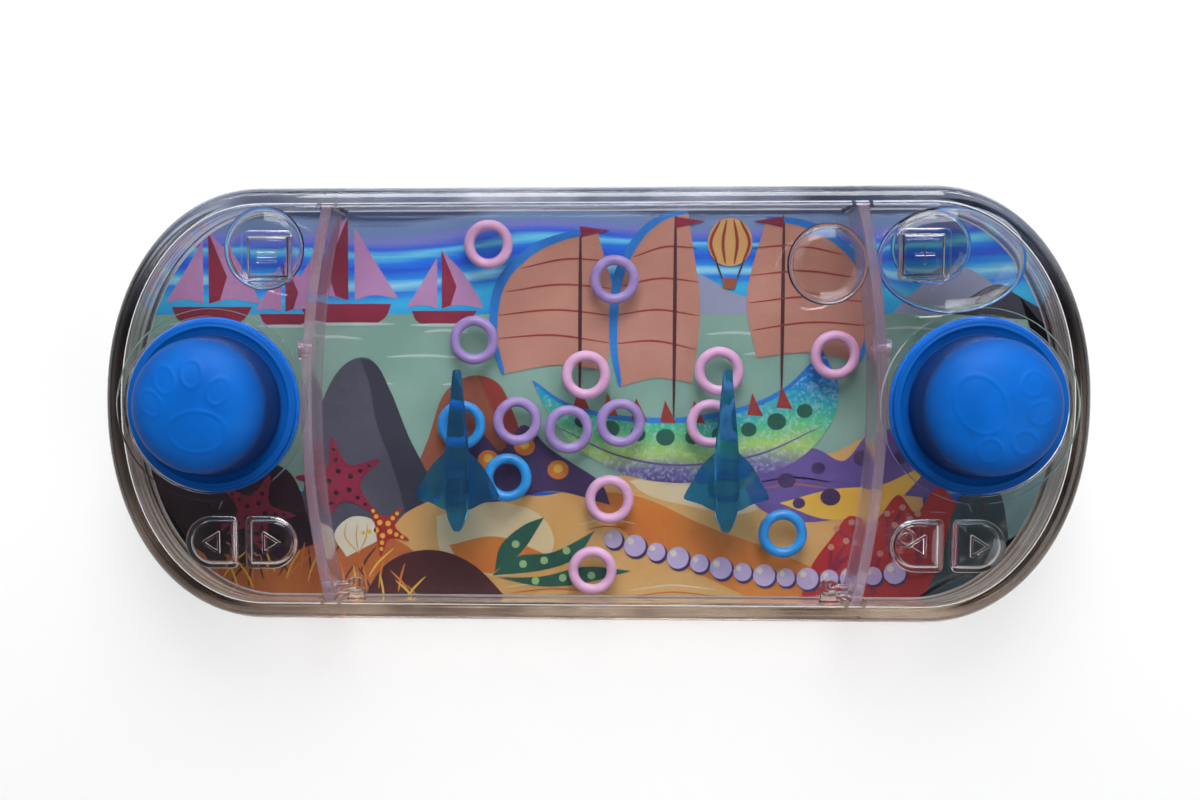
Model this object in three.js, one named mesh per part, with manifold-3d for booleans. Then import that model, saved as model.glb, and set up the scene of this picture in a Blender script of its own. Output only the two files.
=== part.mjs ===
// Handheld water game. A clear flat case is filled with water. A soft pump at each end sends a jet
// through a nozzle into the middle tank, and the jets lift rings onto the spikes of two figures.
// It lies on its back: +X is right, +Y is up in play and +Z comes out of the window. Millimetres.

import * as THREE from 'three';
import { mergeVertices } from 'three/addons/utils/BufferGeometryUtils.js';
import Module from 'manifold-3d';

const wasm = await Module();
wasm.setup();

// Case outline: straight long edges and squarish round ends
const case_length = 150;
const case_height = 66;
const case_depth = 18;
const end_depth = 24.5;
const end_power = 2.1;
const end_steps = 18;

// Case walls
const wall = 2.2;
const window_thickness = 1.8;
const edge_round = 2.0;
const edge_steps = 3;
const inner_fillet = 0.8;
const cover_floor = 1.4;
const cover_rim = 0.9;
const cover_edge_round = 0.8;
const tank_back_thickness = 1.6;
const rebate_lip = 1.1;
const card_thickness = 0.5;
const card_margin = 0.2;
const seat_gap = 0.1;
const cut_over = 0.5;

// Partitions, bowed away from the tank, and the ribs in the shell that hold their ends
const chamber_length = 31.1;
const partition_bow = 3.6;
const partition_thickness = 1.6;
const partition_steps = 14;
const guide_gap = 0.2;
const guide_thickness = 0.6;
const guide_height = 1.0;
const port_height = 8.6;
const port_radius = 1.6;
const port_bore = 0.8;
const port_length = 1.4;
const port_steps = 16;

// Jet nozzles at the foot of the partitions
const jet_offset = 3.25;
const jet_radius = 1.3;
const jet_length = 3.6;
const jet_bore = 0.5;
const jet_collar = 0.25;
const inlet_radius = 0.95;
const inlet_clearance = 0.15;
const inlet_stand_out = 0.6;
const jet_steps = 16;

// Dummy buttons in relief on the window
const relief_height = 0.9;
const relief_top = 1.1;
const relief_bevel = 0.3;
const relief_wall = 1.2;
const square_side = 7.8;
const square_from_end = 25.6;
const square_from_collar = 7.85;
const stadium_from_end = 21.2;
const stadium_from_collar = 6.35;
const stadium_length = 17.4;
const stadium_height = 8.1;
const stadium_slot = 1.2;
const stadium_steps = 10;

// Pumps: a silicone cap with a flange under a clear collar, a thin wall and a stiff crown
const pump_from_end = 17.0;
const pump_hole_radius = 12.6;
const pump_rise = 15.0;
const pump_steps = 36;
const flange_radius = 13.4;
const flange_thickness = 0.8;
const lip_outer_radius = 12.9;
const lip_width = 1.6;
const lip_height = 1.0;
const lip_round = 0.2;
const spigot_depth = 0.9;
const web_thickness = 0.8;
const pump_wall_thickness = 1.2;
const pump_wall_foot_radius = 10.6;
const crown_radius = 10.0;
const crown_height = 3.0;
const crown_thickness = 1.6;
const crown_power = 3;
const crown_steps = 7;
const crown_hollow_steps = 3;
const joint_gap = 0.2;
const collar_radius = 14.7;
const collar_height = 1.4;
const collar_lip_radius = 13.15;
const collar_lip_thickness = 0.4;
const collar_chamfer = 0.3;
const tab_length = 1.3;
const tab_width = 3.0;
const tab_end_share = 0.45;
const tab_thickness = 0.7;

// Figures with a spike, standing on a post in the middle of the tank's depth
const peg_left_x = -21.1;
const peg_right_share = 0.478;
const peg_tip_y = 5.6;
const peg_length = 25.6;
const peg_half_width = 1.95;
const peg_half_thickness = 1.7;
const wing_half_span = 6.6;
const wing_thickness = 1.0;
const peg_steps = 12;
const post_radius = 1.4;
const post_foot_radius = 2.4;
const post_foot_thickness = 0.8;
const post_share = 0.72;
const peg_body_shares = [
  { along: 0, width: 0.22, thickness: 0.24 },
  { along: 0.01, width: 0.34, thickness: 0.38 },
  { along: 0.23, width: 0.63, thickness: 0.62 },
  { along: 0.48, width: 0.95, thickness: 0.8 },
  { along: 0.66, width: 1, thickness: 1 },
  { along: 0.85, width: 0.98, thickness: 0.95 },
  { along: 0.92, width: 0.72, thickness: 0.72 },
  { along: 0.975, width: 0.4, thickness: 0.45 },
  { along: 1, width: 0.16, thickness: 0.22 },
];
const wing_shares = [
  { across: 0, along: 0.5 },
  { across: 0.24, along: 0.52 },
  { across: 0.56, along: 0.59 },
  { across: 0.8, along: 0.69 },
  { across: 1, along: 0.78 },
  { across: 0.98, along: 0.81 },
  { across: 0.6, along: 0.83 },
  { across: 0.35, along: 0.865 },
  { across: 0, along: 0.88 },
];

// Rings, lying on the back of the tank where they have sunk. A place is counted from the tank's
// middle: a share of the free room to the wall, plus a number of ring diameters
const ring_outer_diameter = 7.7;
const ring_section = 1.6;
const ring_rest_gap = 0.2;
const ring_section_steps = 6;
const ring_steps = 20;
const ring_place_shares = [
  { room_x: 0, rings_x: -2.138, room_y: 0.936, rings_y: 0, colour: 'pink' },
  { room_x: 0, rings_x: 0.441, room_y: 0.73, rings_y: 0, colour: 'lilac' },
  { room_x: 0, rings_x: -2.435, room_y: 0, rings_y: 1.324, colour: 'lilac' },
  { room_x: 0, rings_x: -0.13, room_y: 0, rings_y: 0.615, colour: 'pink' },
  { room_x: 0.509, rings_x: 0, room_y: 0, rings_y: 0.694, colour: 'pink' },
  { room_x: 0.97, rings_x: 0, room_y: 0, rings_y: 1.02, colour: 'pink' },
  { room_x: 0, rings_x: -2.696, room_y: 0, rings_y: -0.416, colour: 'blue' },
  { room_x: 0, rings_x: -1.542, room_y: 0, rings_y: -0.335, colour: 'lilac' },
  { room_x: 0, rings_x: -0.483, room_y: 0, rings_y: -0.505, colour: 'lilac' },
  { room_x: 0, rings_x: 0.585, room_y: 0, rings_y: -0.371, colour: 'lilac' },
  { room_x: 0.478, rings_x: 0, room_y: 0, rings_y: -0.381, colour: 'pink' },
  { room_x: 0, rings_x: -1.744, room_y: 0, rings_y: -1.503, colour: 'blue' },
  { room_x: 0, rings_x: 0.367, room_y: -0.556, rings_y: 0, colour: 'pink' },
  { room_x: 0.772, rings_x: 0, room_y: -0.754, rings_y: 0, colour: 'blue' },
  { room_x: 0, rings_x: 0.026, room_y: -0.978, rings_y: 0, colour: 'pink' },
];

// Filling plug in the back, behind the right pump
const plug_radius = 4.0;
const plug_head = 0.75;
const plug_recess = 0.95;
const plug_stem_radius = 2.2;
const plug_bulb_radius = 2.6;
const plug_bulb_height = 1.0;
const plug_nose_radius = 1.5;
const plug_clearance = 0.1;
const plug_steps = 20;

// Levels, from the back face up
const cover_top = cover_floor + cover_rim;
const seam_z = cover_top + seat_gap;
const floor_z = seam_z + tank_back_thickness;
const ledge_z = floor_z + seat_gap;
const window_under = case_depth - window_thickness;
const tank_middle_z = (floor_z + window_under) / 2;
const inner_half_height = case_height / 2 - wall;

// Places along and across the case
const partition_reach = case_length / 2 - chamber_length;
const pump_x = case_length / 2 - pump_from_end;
const square_x = case_length / 2 - square_from_end;
const square_y = collar_radius + square_from_collar;
const stadium_x = case_length / 2 - stadium_from_end;
const stadium_y = -collar_radius - stadium_from_collar;
const ring_room_x = partition_reach - (partition_thickness + ring_outer_diameter) / 2;
const ring_room_y = inner_half_height - ring_outer_diameter / 2;

// Levels of the pump caps
const crown_base_z = case_depth + pump_rise - crown_height;
const web_base_z = case_depth - spigot_depth;
const web_top_z = web_base_z + web_thickness;
const flange_top_z = case_depth + seat_gap + flange_thickness;

// Bow of the partitions: radius of an arc with that rise over the inside height of the case
const bow_radius = (inner_half_height ** 2 + partition_bow ** 2) / (2 * partition_bow);

// Finishes
const clear_plastic = { color: 0xdfe6ea, roughness: 0.08, metalness: 0 };
const milky_plastic = { color: 0xa9a8b4, roughness: 0.35, metalness: 0 };
const print_finish = { color: 0x8fb0a8, roughness: 0.4, metalness: 0.1 };
const silicone_finish = { color: 0x1468d0, roughness: 0.5, metalness: 0 };
const peg_finish = { color: 0x1f6f9a, roughness: 0.2, metalness: 0 };
const plug_finish = { color: 0xe4e4de, roughness: 0.6, metalness: 0 };
const ring_finishes = {
  pink: { color: 0xd99bc0, roughness: 0.45, metalness: 0 },
  lilac: { color: 0xa987c2, roughness: 0.45, metalness: 0 },
  blue: { color: 0x1f8fd6, roughness: 0.45, metalness: 0 },
};

// Turns a closed geometry into a solid that can be joined and cut
function solid(geometry) {
  const bare = geometry.clone();
  bare.deleteAttribute('normal');
  bare.deleteAttribute('uv');
  const merged = mergeVertices(bare);
  const corners = merged.index.array;
  const faces = [];
  for (let i = 0; i < corners.length; i += 3) {
    const [a, b, c] = corners.slice(i, i + 3);
    if (a !== b && b !== c && c !== a) {
      faces.push(a, b, c);
    }
  }
  return new wasm.Manifold(new wasm.Mesh({
    numProp: 3,
    vertProperties: new Float32Array(merged.attributes.position.array),
    triVerts: new Uint32Array(faces),
  }));
}

// Gives a finished solid its name and finish
function piece(name, body, finish) {
  const { vertProperties, triVerts } = body.getMesh();
  const geometry = new THREE.BufferGeometry();
  geometry.setAttribute('position', new THREE.BufferAttribute(vertProperties, 3));
  geometry.setIndex(new THREE.BufferAttribute(triVerts, 1));
  geometry.computeVertexNormals();
  const mesh = new THREE.Mesh(geometry, new THREE.MeshStandardMaterial(finish));
  mesh.name = name;
  return mesh;
}

// Closed body through outlines of the same number of points, one above another
function loft(levels) {
  const count = levels[0].outline.length;
  const positions = levels.flatMap(({ z, outline }) => outline.flatMap((p) => [p.x, p.y, z]));
  const faces = [];
  for (let level = 0; level < levels.length - 1; level += 1) {
    for (let i = 0; i < count; i += 1) {
      const low = level * count;
      const next = (i + 1) % count;
      faces.push(low + i, low + next, low + count + next);
      faces.push(low + i, low + count + next, low + count + i);
    }
  }
  const top = count * (levels.length - 1);
  for (const [a, b, c] of THREE.ShapeUtils.triangulateShape(levels[0].outline, [])) {
    faces.push(c, b, a);
    faces.push(top + a, top + b, top + c);
  }
  const geometry = new THREE.BufferGeometry();
  geometry.setAttribute('position', new THREE.Float32BufferAttribute(positions, 3));
  geometry.setIndex(faces);
  return geometry;
}

// Solid of revolution about +Z, from a profile that runs up the outside and down the inside
function turned(profile, steps) {
  const points = profile.map(([radius, z]) => new THREE.Vector2(radius, z));
  return new THREE.LatheGeometry(points, steps).rotateX(Math.PI / 2);
}

// Closes a profile on itself, for a turned ring
function closed(profile) {
  return [...profile, profile[0]];
}

// Straight prism of a shape between two levels
function prism(shape, bottom, top, curveSegments) {
  const options = { depth: top - bottom, bevelEnabled: false, curveSegments };
  return new THREE.ExtrudeGeometry(shape, options).translate(0, 0, bottom);
}

// Upright cylinder between two levels
function disc(radius, bottom, top, steps) {
  return turned([[0, bottom], [radius, bottom], [radius, top], [0, top]], steps);
}

// Outline of the case, moved inwards by a distance, anticlockwise from above
function caseOutline(inset) {
  const half_straight = case_length / 2 - end_depth;
  const half_height = case_height / 2 - inset;
  const reach = end_depth - inset;
  const squared = (value) => Math.sign(value) * Math.abs(value) ** (2 / end_power);
  const points = [];
  for (const side of [1, -1]) {
    for (let i = 0; i <= end_steps; i += 1) {
      const angle = Math.PI * (i / end_steps - side / 2);
      const x = side * half_straight + reach * squared(Math.cos(angle));
      points.push(new THREE.Vector2(x, half_height * squared(Math.sin(angle))));
    }
  }
  return points;
}

// Slab of the case outline between two levels
function caseSlab(inset, bottom, top) {
  return loft([
    { z: bottom, outline: caseOutline(inset) },
    { z: top, outline: caseOutline(inset) },
  ]);
}

// Levels of a rounded edge that starts upright at one height and ends flat at another
function roundedLevels(start_z, end_z, radius) {
  const levels = [];
  for (let i = 0; i <= edge_steps; i += 1) {
    const angle = (Math.PI / 2) * (i / edge_steps);
    const z = start_z + (end_z - start_z) * Math.sin(angle);
    levels.push({ z, outline: caseOutline(radius * (1 - Math.cos(angle))) });
  }
  return levels;
}

// Square dummy button
function squareShape() {
  const half = square_side / 2;
  const corners = [[-half, -half], [half, -half], [half, half], [-half, half]];
  return new THREE.Shape(corners.map(([x, y]) => new THREE.Vector2(x, y)));
}

// Half of a split stadium: straight on the inner side, round on the outer side
function halfStadiumShape() {
  const radius = stadium_height / 2;
  const shape = new THREE.Shape();
  shape.moveTo(stadium_slot / 2, radius);
  shape.lineTo(stadium_slot / 2, -radius);
  shape.lineTo(stadium_length / 2 - radius, -radius);
  shape.absarc(stadium_length / 2 - radius, 0, radius, -Math.PI / 2, Math.PI / 2, false);
  return shape;
}

// Raised relief on the window, with softened edges and its foot sunk into the window
function relief(shape) {
  const options = {
    depth: relief_height,
    bevelThickness: relief_bevel,
    bevelSize: relief_bevel,
    bevelOffset: -relief_bevel,
    bevelSegments: 1,
    curveSegments: stadium_steps,
  };
  return new THREE.ExtrudeGeometry(shape, options).translate(0, 0, case_depth - relief_bevel);
}

// Pocket behind a relief, which leaves an even wall round it
function reliefPocket(shape, middle_x, size_x, size_y) {
  const depth = relief_height + window_thickness - relief_top;
  const share_x = (size_x - 2 * relief_wall) / size_x;
  const share_y = (size_y - 2 * relief_wall) / size_y;
  return prism(shape, 0, depth + cut_over, stadium_steps)
    .translate(-middle_x, 0, 0)
    .scale(share_x, share_y, 1)
    .translate(middle_x, 0, window_under - cut_over);
}

// Dummy buttons and the pockets behind them, for both ends of the case
function dummyButtons() {
  const half_length = (stadium_length - stadium_slot) / 2;
  const half_middle = (stadium_slot + half_length) / 2;
  const raised = [];
  const pockets = [];
  for (const side of [-1, 1]) {
    raised.push(relief(squareShape()).translate(side * square_x, square_y, 0));
    pockets.push(reliefPocket(squareShape(), 0, square_side, square_side)
      .translate(side * square_x, square_y, 0));
    for (const turn of [0, Math.PI]) {
      raised.push(relief(halfStadiumShape()).rotateZ(turn).translate(side * stadium_x, stadium_y, 0));
      pockets.push(reliefPocket(halfStadiumShape(), half_middle, half_length, stadium_height)
        .rotateZ(turn)
        .translate(side * stadium_x, stadium_y, 0));
    }
  }
  return { raised: raised.map(solid), pockets: pockets.map(solid) };
}

// Upright strip along the bow of a partition, between two distances from its middle line
function bowStrip(side, inner, outer, bottom, top) {
  const middle_x = partition_reach - bow_radius;
  const angle = Math.asin(case_height / 2 / (bow_radius + inner));
  const shape = new THREE.Shape();
  shape.absarc(middle_x, 0, bow_radius + outer, -angle, angle, false);
  shape.absarc(middle_x, 0, bow_radius + inner, angle, -angle, true);
  const strip = prism(shape, bottom, top, partition_steps);
  return solid(side < 0 ? strip.rotateZ(Math.PI) : strip);
}

// Pairs of ribs inside the shell, one each side of a partition's two ends
function guideRibs(side) {
  const start = partition_thickness / 2 + guide_gap;
  const band = solid(caseSlab(wall / 2, ledge_z, window_under))
    .subtract(solid(caseSlab(wall + guide_height, ledge_z - cut_over, window_under + cut_over)));
  const top = window_under + cut_over;
  const outer = bowStrip(side, start, start + guide_thickness, ledge_z, top);
  const inner = bowStrip(side, -start - guide_thickness, -start, ledge_z, top);
  return outer.add(inner).intersect(band);
}

// Space inside the front tray, with its corner fillet under the window, moved inwards by a gap
function hollowOfShell(gap, bottom) {
  return solid(loft([
    { z: bottom, outline: caseOutline(wall + gap) },
    { z: window_under - inner_fillet - gap, outline: caseOutline(wall + gap) },
    { z: window_under - gap, outline: caseOutline(wall + gap + inner_fillet) },
  ]));
}

// Front tray: window and side wall in one, open at the back, with a step for the tank back
function frontShell() {
  const outside = solid(loft([
    { z: seam_z, outline: caseOutline(0) },
    ...roundedLevels(case_depth - edge_round, case_depth, edge_round),
  ]));
  const inside = hollowOfShell(0, seam_z - cut_over);
  const rebate = solid(caseSlab(rebate_lip, seam_z - cut_over, ledge_z));
  const { raised, pockets } = dummyButtons();
  let shell = outside;
  raised.forEach((body) => {
    shell = shell.add(body);
  });
  shell = shell.subtract(inside).subtract(rebate);
  pockets.forEach((body) => {
    shell = shell.subtract(body);
  });
  for (const side of [-1, 1]) {
    const hole = disc(pump_hole_radius, window_under - cut_over, case_depth + cut_over, pump_steps);
    shell = shell.add(guideRibs(side)).subtract(solid(hole.translate(side * pump_x, 0, 0)));
  }
  return piece('front_shell', shell, clear_plastic);
}

// Clear plate that closes the water space, welded into the step of the front tray
function tankBack() {
  const plate = solid(caseSlab(rebate_lip + seat_gap, seam_z, floor_z));
  const hole = disc(plug_stem_radius + plug_clearance, seam_z - cut_over, floor_z + cut_over, plug_steps);
  return piece('tank_back', plate.subtract(solid(hole.translate(pump_x, 0, 0))), clear_plastic);
}

// Printed card in the tray of the back cover
function printCard() {
  const bottom = cover_floor + seat_gap;
  const top = bottom + card_thickness;
  const sheet = solid(caseSlab(wall + card_margin, bottom, top));
  const hole = disc(plug_stem_radius + card_margin, bottom - cut_over, top + cut_over, plug_steps);
  return piece('print_card', sheet.subtract(solid(hole.translate(pump_x, 0, 0))), print_finish);
}

// Shallow back tray with a rounded edge and a recessed hole for the plug
function backCover() {
  const outside = solid(loft([
    ...roundedLevels(cover_edge_round, 0, cover_edge_round).reverse(),
    { z: cover_top, outline: caseOutline(0) },
  ]));
  const tray = solid(caseSlab(wall, cover_floor, cover_top + cut_over));
  const recess = disc(plug_radius + plug_clearance, -cut_over, plug_recess, plug_steps);
  const hole = disc(plug_stem_radius + plug_clearance, -cut_over, cover_top + cut_over, plug_steps);
  const cover = outside.subtract(tray)
    .subtract(solid(recess.translate(pump_x, 0, 0)))
    .subtract(solid(hole.translate(pump_x, 0, 0)));
  return piece('back_cover', cover, clear_plastic);
}

// Push-in plug: flat head in the recess, stem through card and plate, bulb behind the plate
function fillPlug() {
  const base = plug_recess - plug_clearance - plug_head;
  const bulb = floor_z + plug_clearance;
  const profile = [
    [0, base],
    [plug_radius, base],
    [plug_radius, base + plug_head],
    [plug_stem_radius, base + plug_head],
    [plug_stem_radius, bulb],
    [plug_bulb_radius, bulb + plug_clearance],
    [plug_nose_radius, bulb + plug_bulb_height],
    [0, bulb + plug_bulb_height],
  ];
  return piece('fill_plug', solid(turned(profile, plug_steps).translate(pump_x, 0, 0)), plug_finish);
}

// Distance from the case's middle to a partition's middle line at a height
function partitionX(y) {
  return partition_reach - bow_radius + Math.sqrt(bow_radius ** 2 - y ** 2);
}

// Height of the inlet bore, which runs just above the guide ribs
function inletY() {
  return -inner_half_height + guide_height + guide_gap + inlet_radius;
}

// Cylinder along X between two places
function crossBar(radius, from_x, to_x, y, steps) {
  return new THREE.CylinderGeometry(radius, radius, Math.abs(to_x - from_x), steps)
    .rotateZ(Math.PI / 2)
    .translate((from_x + to_x) / 2, y, tank_middle_z);
}

// Bowed wall with a return port near its middle and a hole for the nozzle's inlet
function partition(name, side) {
  const half = partition_thickness / 2;
  const strip = bowStrip(side, -half, half, ledge_z, window_under);
  const port_x = partitionX(port_height);
  const port_end = port_x + half + port_length;
  const boss = crossBar(port_radius, side * port_x, side * port_end, port_height, port_steps);
  const bore_start = side * (port_x - partition_thickness);
  const bore = crossBar(port_bore, bore_start, side * (port_end + cut_over), port_height, port_steps);
  const inlet_x = partitionX(inletY());
  const inlet_hole = crossBar(
    inlet_radius + inlet_clearance,
    side * (inlet_x - partition_thickness),
    side * (inlet_x + partition_thickness),
    inletY(),
    port_steps,
  );
  const body = strip.intersect(hollowOfShell(seat_gap, floor_z))
    .add(solid(boss))
    .subtract(solid(bore))
    .subtract(solid(inlet_hole));
  return piece(name, body, milky_plastic);
}

// Domed nozzle that points up the tank, with an inlet through the partition
function jetNozzle(name, side) {
  const nozzle_x = side * (partitionX(inner_half_height) - jet_offset);
  const nozzle_y = seat_gap - inner_half_height;
  const inlet_end = side * (partitionX(inletY()) + partition_thickness / 2 + inlet_stand_out);
  const dome = jet_radius - jet_bore;
  const profile = [
    [0, 0],
    [jet_radius + jet_collar, 0],
    [jet_radius + jet_collar, jet_collar],
    [jet_radius, 2 * jet_collar],
    [jet_radius, jet_length - dome],
  ];
  for (let i = 1; i <= edge_steps; i += 1) {
    const angle = (Math.PI / 2) * (i / edge_steps);
    profile.push([jet_bore + dome * Math.cos(angle), jet_length - dome + dome * Math.sin(angle)]);
  }
  profile.push([0, jet_length]);
  const place = (geometry) => geometry
    .rotateX(-Math.PI / 2)
    .translate(nozzle_x, nozzle_y, tank_middle_z);
  const barrel = place(turned(profile, jet_steps));
  const bore = place(disc(jet_bore, inletY() - nozzle_y, jet_length + cut_over, jet_steps));
  const inlet = crossBar(inlet_radius, nozzle_x, inlet_end, inletY(), jet_steps);
  const inlet_bore = crossBar(jet_bore, nozzle_x, inlet_end + side * cut_over, inletY(), jet_steps);
  const body = solid(barrel).add(solid(inlet)).subtract(solid(bore)).subtract(solid(inlet_bore));
  return piece(name, body, clear_plastic);
}

// Fixed foot of a pump cap: flange on the window, raised lip, and the web that carries the wall
function pumpFlange(name, side) {
  const lip_inner = lip_outer_radius - lip_width;
  const lip_top = flange_top_z + lip_height;
  const profile = closed([
    [pump_wall_foot_radius - pump_wall_thickness, web_base_z],
    [pump_hole_radius - seat_gap, web_base_z],
    [pump_hole_radius - seat_gap, case_depth + seat_gap],
    [flange_radius, case_depth + seat_gap],
    [flange_radius, flange_top_z],
    [lip_outer_radius, flange_top_z],
    [lip_outer_radius, lip_top - lip_round],
    [lip_outer_radius - lip_round, lip_top],
    [lip_inner + lip_round, lip_top],
    [lip_inner, lip_top - lip_round],
    [pump_wall_foot_radius + 2 * joint_gap, web_top_z],
    [pump_wall_foot_radius - pump_wall_thickness, web_top_z],
  ]);
  return piece(name, solid(turned(profile, pump_steps).translate(side * pump_x, 0, 0)), silicone_finish);
}

// Thin wall of a pump cap, which folds as the crown goes down
function pumpWall(name, side) {
  const bottom = web_top_z + joint_gap;
  const top = crown_base_z - joint_gap;
  const waist_z = (bottom + top) / 2;
  const waist_radius = (crown_radius + pump_wall_foot_radius) / 2 - pump_wall_thickness / 8;
  const profile = closed([
    [pump_wall_foot_radius - pump_wall_thickness, bottom],
    [pump_wall_foot_radius, bottom],
    [waist_radius, waist_z],
    [crown_radius, top],
    [crown_radius - pump_wall_thickness, top],
    [waist_radius - pump_wall_thickness, waist_z],
  ]);
  return piece(name, solid(turned(profile, pump_steps).translate(side * pump_x, 0, 0)), silicone_finish);
}

// Points of a flattened dome, from its rim to the axis
function domeCurve(radius, height, base_z, steps) {
  const points = [];
  for (let i = 0; i <= steps; i += 1) {
    const angle = (Math.PI / 2) * (i / steps);
    const across = i === steps ? 0 : Math.cos(angle) ** (2 / crown_power);
    points.push([radius * across, base_z + height * Math.sin(angle)]);
  }
  return points;
}

// Crown of a pump cap, the part that the thumb pushes
function pumpCrown(name, side) {
  const hollow_radius = crown_radius - crown_thickness;
  const hollow_height = crown_height - crown_thickness;
  const hollow = domeCurve(hollow_radius, hollow_height, crown_base_z, crown_hollow_steps).reverse();
  const profile = [...hollow, ...domeCurve(crown_radius, crown_height, crown_base_z, crown_steps)];
  return piece(name, solid(turned(profile, pump_steps).translate(side * pump_x, 0, 0)), silicone_finish);
}

// Clear collar glued on the window over the flange, with a small tab at its foot
function pumpCollar(name, side) {
  const base = case_depth + seat_gap;
  const top = base + collar_height;
  const lip_under = top - collar_lip_thickness;
  const profile = closed([
    [flange_radius + joint_gap, base],
    [collar_radius, base],
    [collar_radius, top - collar_chamfer],
    [collar_radius - collar_chamfer, top],
    [collar_lip_radius, top],
    [collar_lip_radius, lip_under],
    [flange_radius + joint_gap, lip_under],
  ]);
  const end_y = -collar_radius - tab_length;
  const root_y = -flange_radius - 2 * joint_gap;
  const tab = new THREE.Shape([
    new THREE.Vector2(-tab_width / 2, root_y),
    new THREE.Vector2(-tab_width * tab_end_share / 2, end_y),
    new THREE.Vector2(tab_width * tab_end_share / 2, end_y),
    new THREE.Vector2(tab_width / 2, root_y),
  ]);
  const ring = solid(turned(profile, pump_steps).translate(side * pump_x, 0, 0));
  const foot = solid(prism(tab, base, base + tab_thickness).translate(side * pump_x, 0, 0));
  return piece(name, ring.add(foot), clear_plastic);
}

// Ellipse outline in X and Z, as a flat ring of points
function ellipseOutline(half_width, half_thickness) {
  const points = [];
  for (let i = 0; i < peg_steps; i += 1) {
    const angle = 2 * Math.PI * (i / peg_steps);
    points.push(new THREE.Vector2(half_width * Math.cos(angle), half_thickness * Math.sin(angle)));
  }
  return points;
}

// Body, head and spike of a figure, lofted through ellipses from the spike's tip to the head
function pegBody() {
  const levels = peg_body_shares.map(({ along, width, thickness }) => ({
    z: along * peg_length,
    outline: ellipseOutline(width * peg_half_width, thickness * peg_half_thickness),
  }));
  return loft(levels).rotateX(Math.PI / 2);
}

// Both wings as one swept plate
function pegWings() {
  const right = wing_shares.map(({ across, along }) => [across * wing_half_span, -along * peg_length]);
  const left = right.slice(1, -1).reverse().map(([x, y]) => [-x, y]);
  const shape = new THREE.Shape([...right, ...left].map(([x, y]) => new THREE.Vector2(x, y)));
  return prism(shape, -wing_thickness / 2, wing_thickness / 2);
}

// Winged figure with a spike, on a post with a foot glued to the tank back
function peg(name, x) {
  const foot_z = floor_z + seat_gap - tank_middle_z;
  const post_y = -post_share * peg_length;
  const post = disc(post_radius, foot_z, 0, peg_steps).translate(0, post_y, 0);
  const foot = disc(post_foot_radius, foot_z, foot_z + post_foot_thickness, peg_steps)
    .translate(0, post_y, 0);
  const body = solid(pegBody()).add(solid(pegWings())).add(solid(post)).add(solid(foot));
  return piece(name, body.translate([x, peg_tip_y, tank_middle_z]), peg_finish);
}

// Soft plastic ring of round section
function ring(name, place) {
  const section = ring_section / 2;
  const geometry = new THREE.TorusGeometry(
    ring_outer_diameter / 2 - section,
    section,
    ring_section_steps,
    ring_steps,
  );
  const x = place.room_x * ring_room_x + place.rings_x * ring_outer_diameter;
  const y = place.room_y * ring_room_y + place.rings_y * ring_outer_diameter;
  const z = floor_z + ring_rest_gap + section;
  return piece(name, solid(geometry.translate(x, y, z)), ring_finishes[place.colour]);
}

const water_game = new THREE.Group();
water_game.add(frontShell(), tankBack(), printCard(), backCover(), fillPlug());
for (const [label, side] of [['left', -1], ['right', 1]]) {
  water_game.add(
    partition(`partition_${label}`, side),
    jetNozzle(`jet_nozzle_${label}`, side),
    pumpFlange(`pump_flange_${label}`, side),
    pumpWall(`pump_wall_${label}`, side),
    pumpCrown(`pump_crown_${label}`, side),
    pumpCollar(`pump_collar_${label}`, side),
  );
}
water_game.add(
  peg('peg_left', peg_left_x),
  peg('peg_right', peg_right_share * partition_reach),
);
ring_place_shares.forEach((place, index) => {
  water_game.add(ring(`ring_${String(index + 1).padStart(2, '0')}`, place));
});

export default water_game;
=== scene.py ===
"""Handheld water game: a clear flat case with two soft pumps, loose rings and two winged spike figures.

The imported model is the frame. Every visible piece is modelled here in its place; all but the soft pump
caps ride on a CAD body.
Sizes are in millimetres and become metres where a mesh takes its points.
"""

import logging
import math
import random
from collections.abc import Callable
from dataclasses import dataclass, field
from enum import Enum

import bmesh
import bpy
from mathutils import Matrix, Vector

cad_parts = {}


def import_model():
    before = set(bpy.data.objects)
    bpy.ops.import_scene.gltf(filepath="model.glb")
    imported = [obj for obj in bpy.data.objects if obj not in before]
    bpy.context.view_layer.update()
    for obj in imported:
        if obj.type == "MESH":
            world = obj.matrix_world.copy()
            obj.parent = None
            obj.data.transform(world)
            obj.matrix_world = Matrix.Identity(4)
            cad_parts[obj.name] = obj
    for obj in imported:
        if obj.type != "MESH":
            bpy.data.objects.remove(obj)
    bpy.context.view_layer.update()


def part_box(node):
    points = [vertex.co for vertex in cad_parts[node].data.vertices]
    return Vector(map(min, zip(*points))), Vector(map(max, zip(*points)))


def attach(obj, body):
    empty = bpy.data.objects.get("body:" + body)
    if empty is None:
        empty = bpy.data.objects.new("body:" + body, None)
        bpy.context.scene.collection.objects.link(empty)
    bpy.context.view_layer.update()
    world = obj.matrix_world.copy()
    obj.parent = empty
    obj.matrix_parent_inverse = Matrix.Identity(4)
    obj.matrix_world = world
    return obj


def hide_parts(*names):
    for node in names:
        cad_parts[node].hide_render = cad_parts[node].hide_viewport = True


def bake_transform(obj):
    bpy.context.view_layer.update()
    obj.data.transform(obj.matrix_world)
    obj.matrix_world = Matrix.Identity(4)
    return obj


MM = 0.001
SIDES = (("left", -1), ("right", 1))

log = logging.getLogger("water_game")

Point = tuple[float, float]
Triple = tuple[float, float, float]
Loop = list[Vector]
Knot = tuple[float, ...]
Outline = Callable[[float], list[Point]]
Piece = bpy.types.Object
Material = bpy.types.Material
Tree = bpy.types.NodeTree
Node = bpy.types.Node
Socket = bpy.types.NodeSocket


# Small tools for meshes


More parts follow.
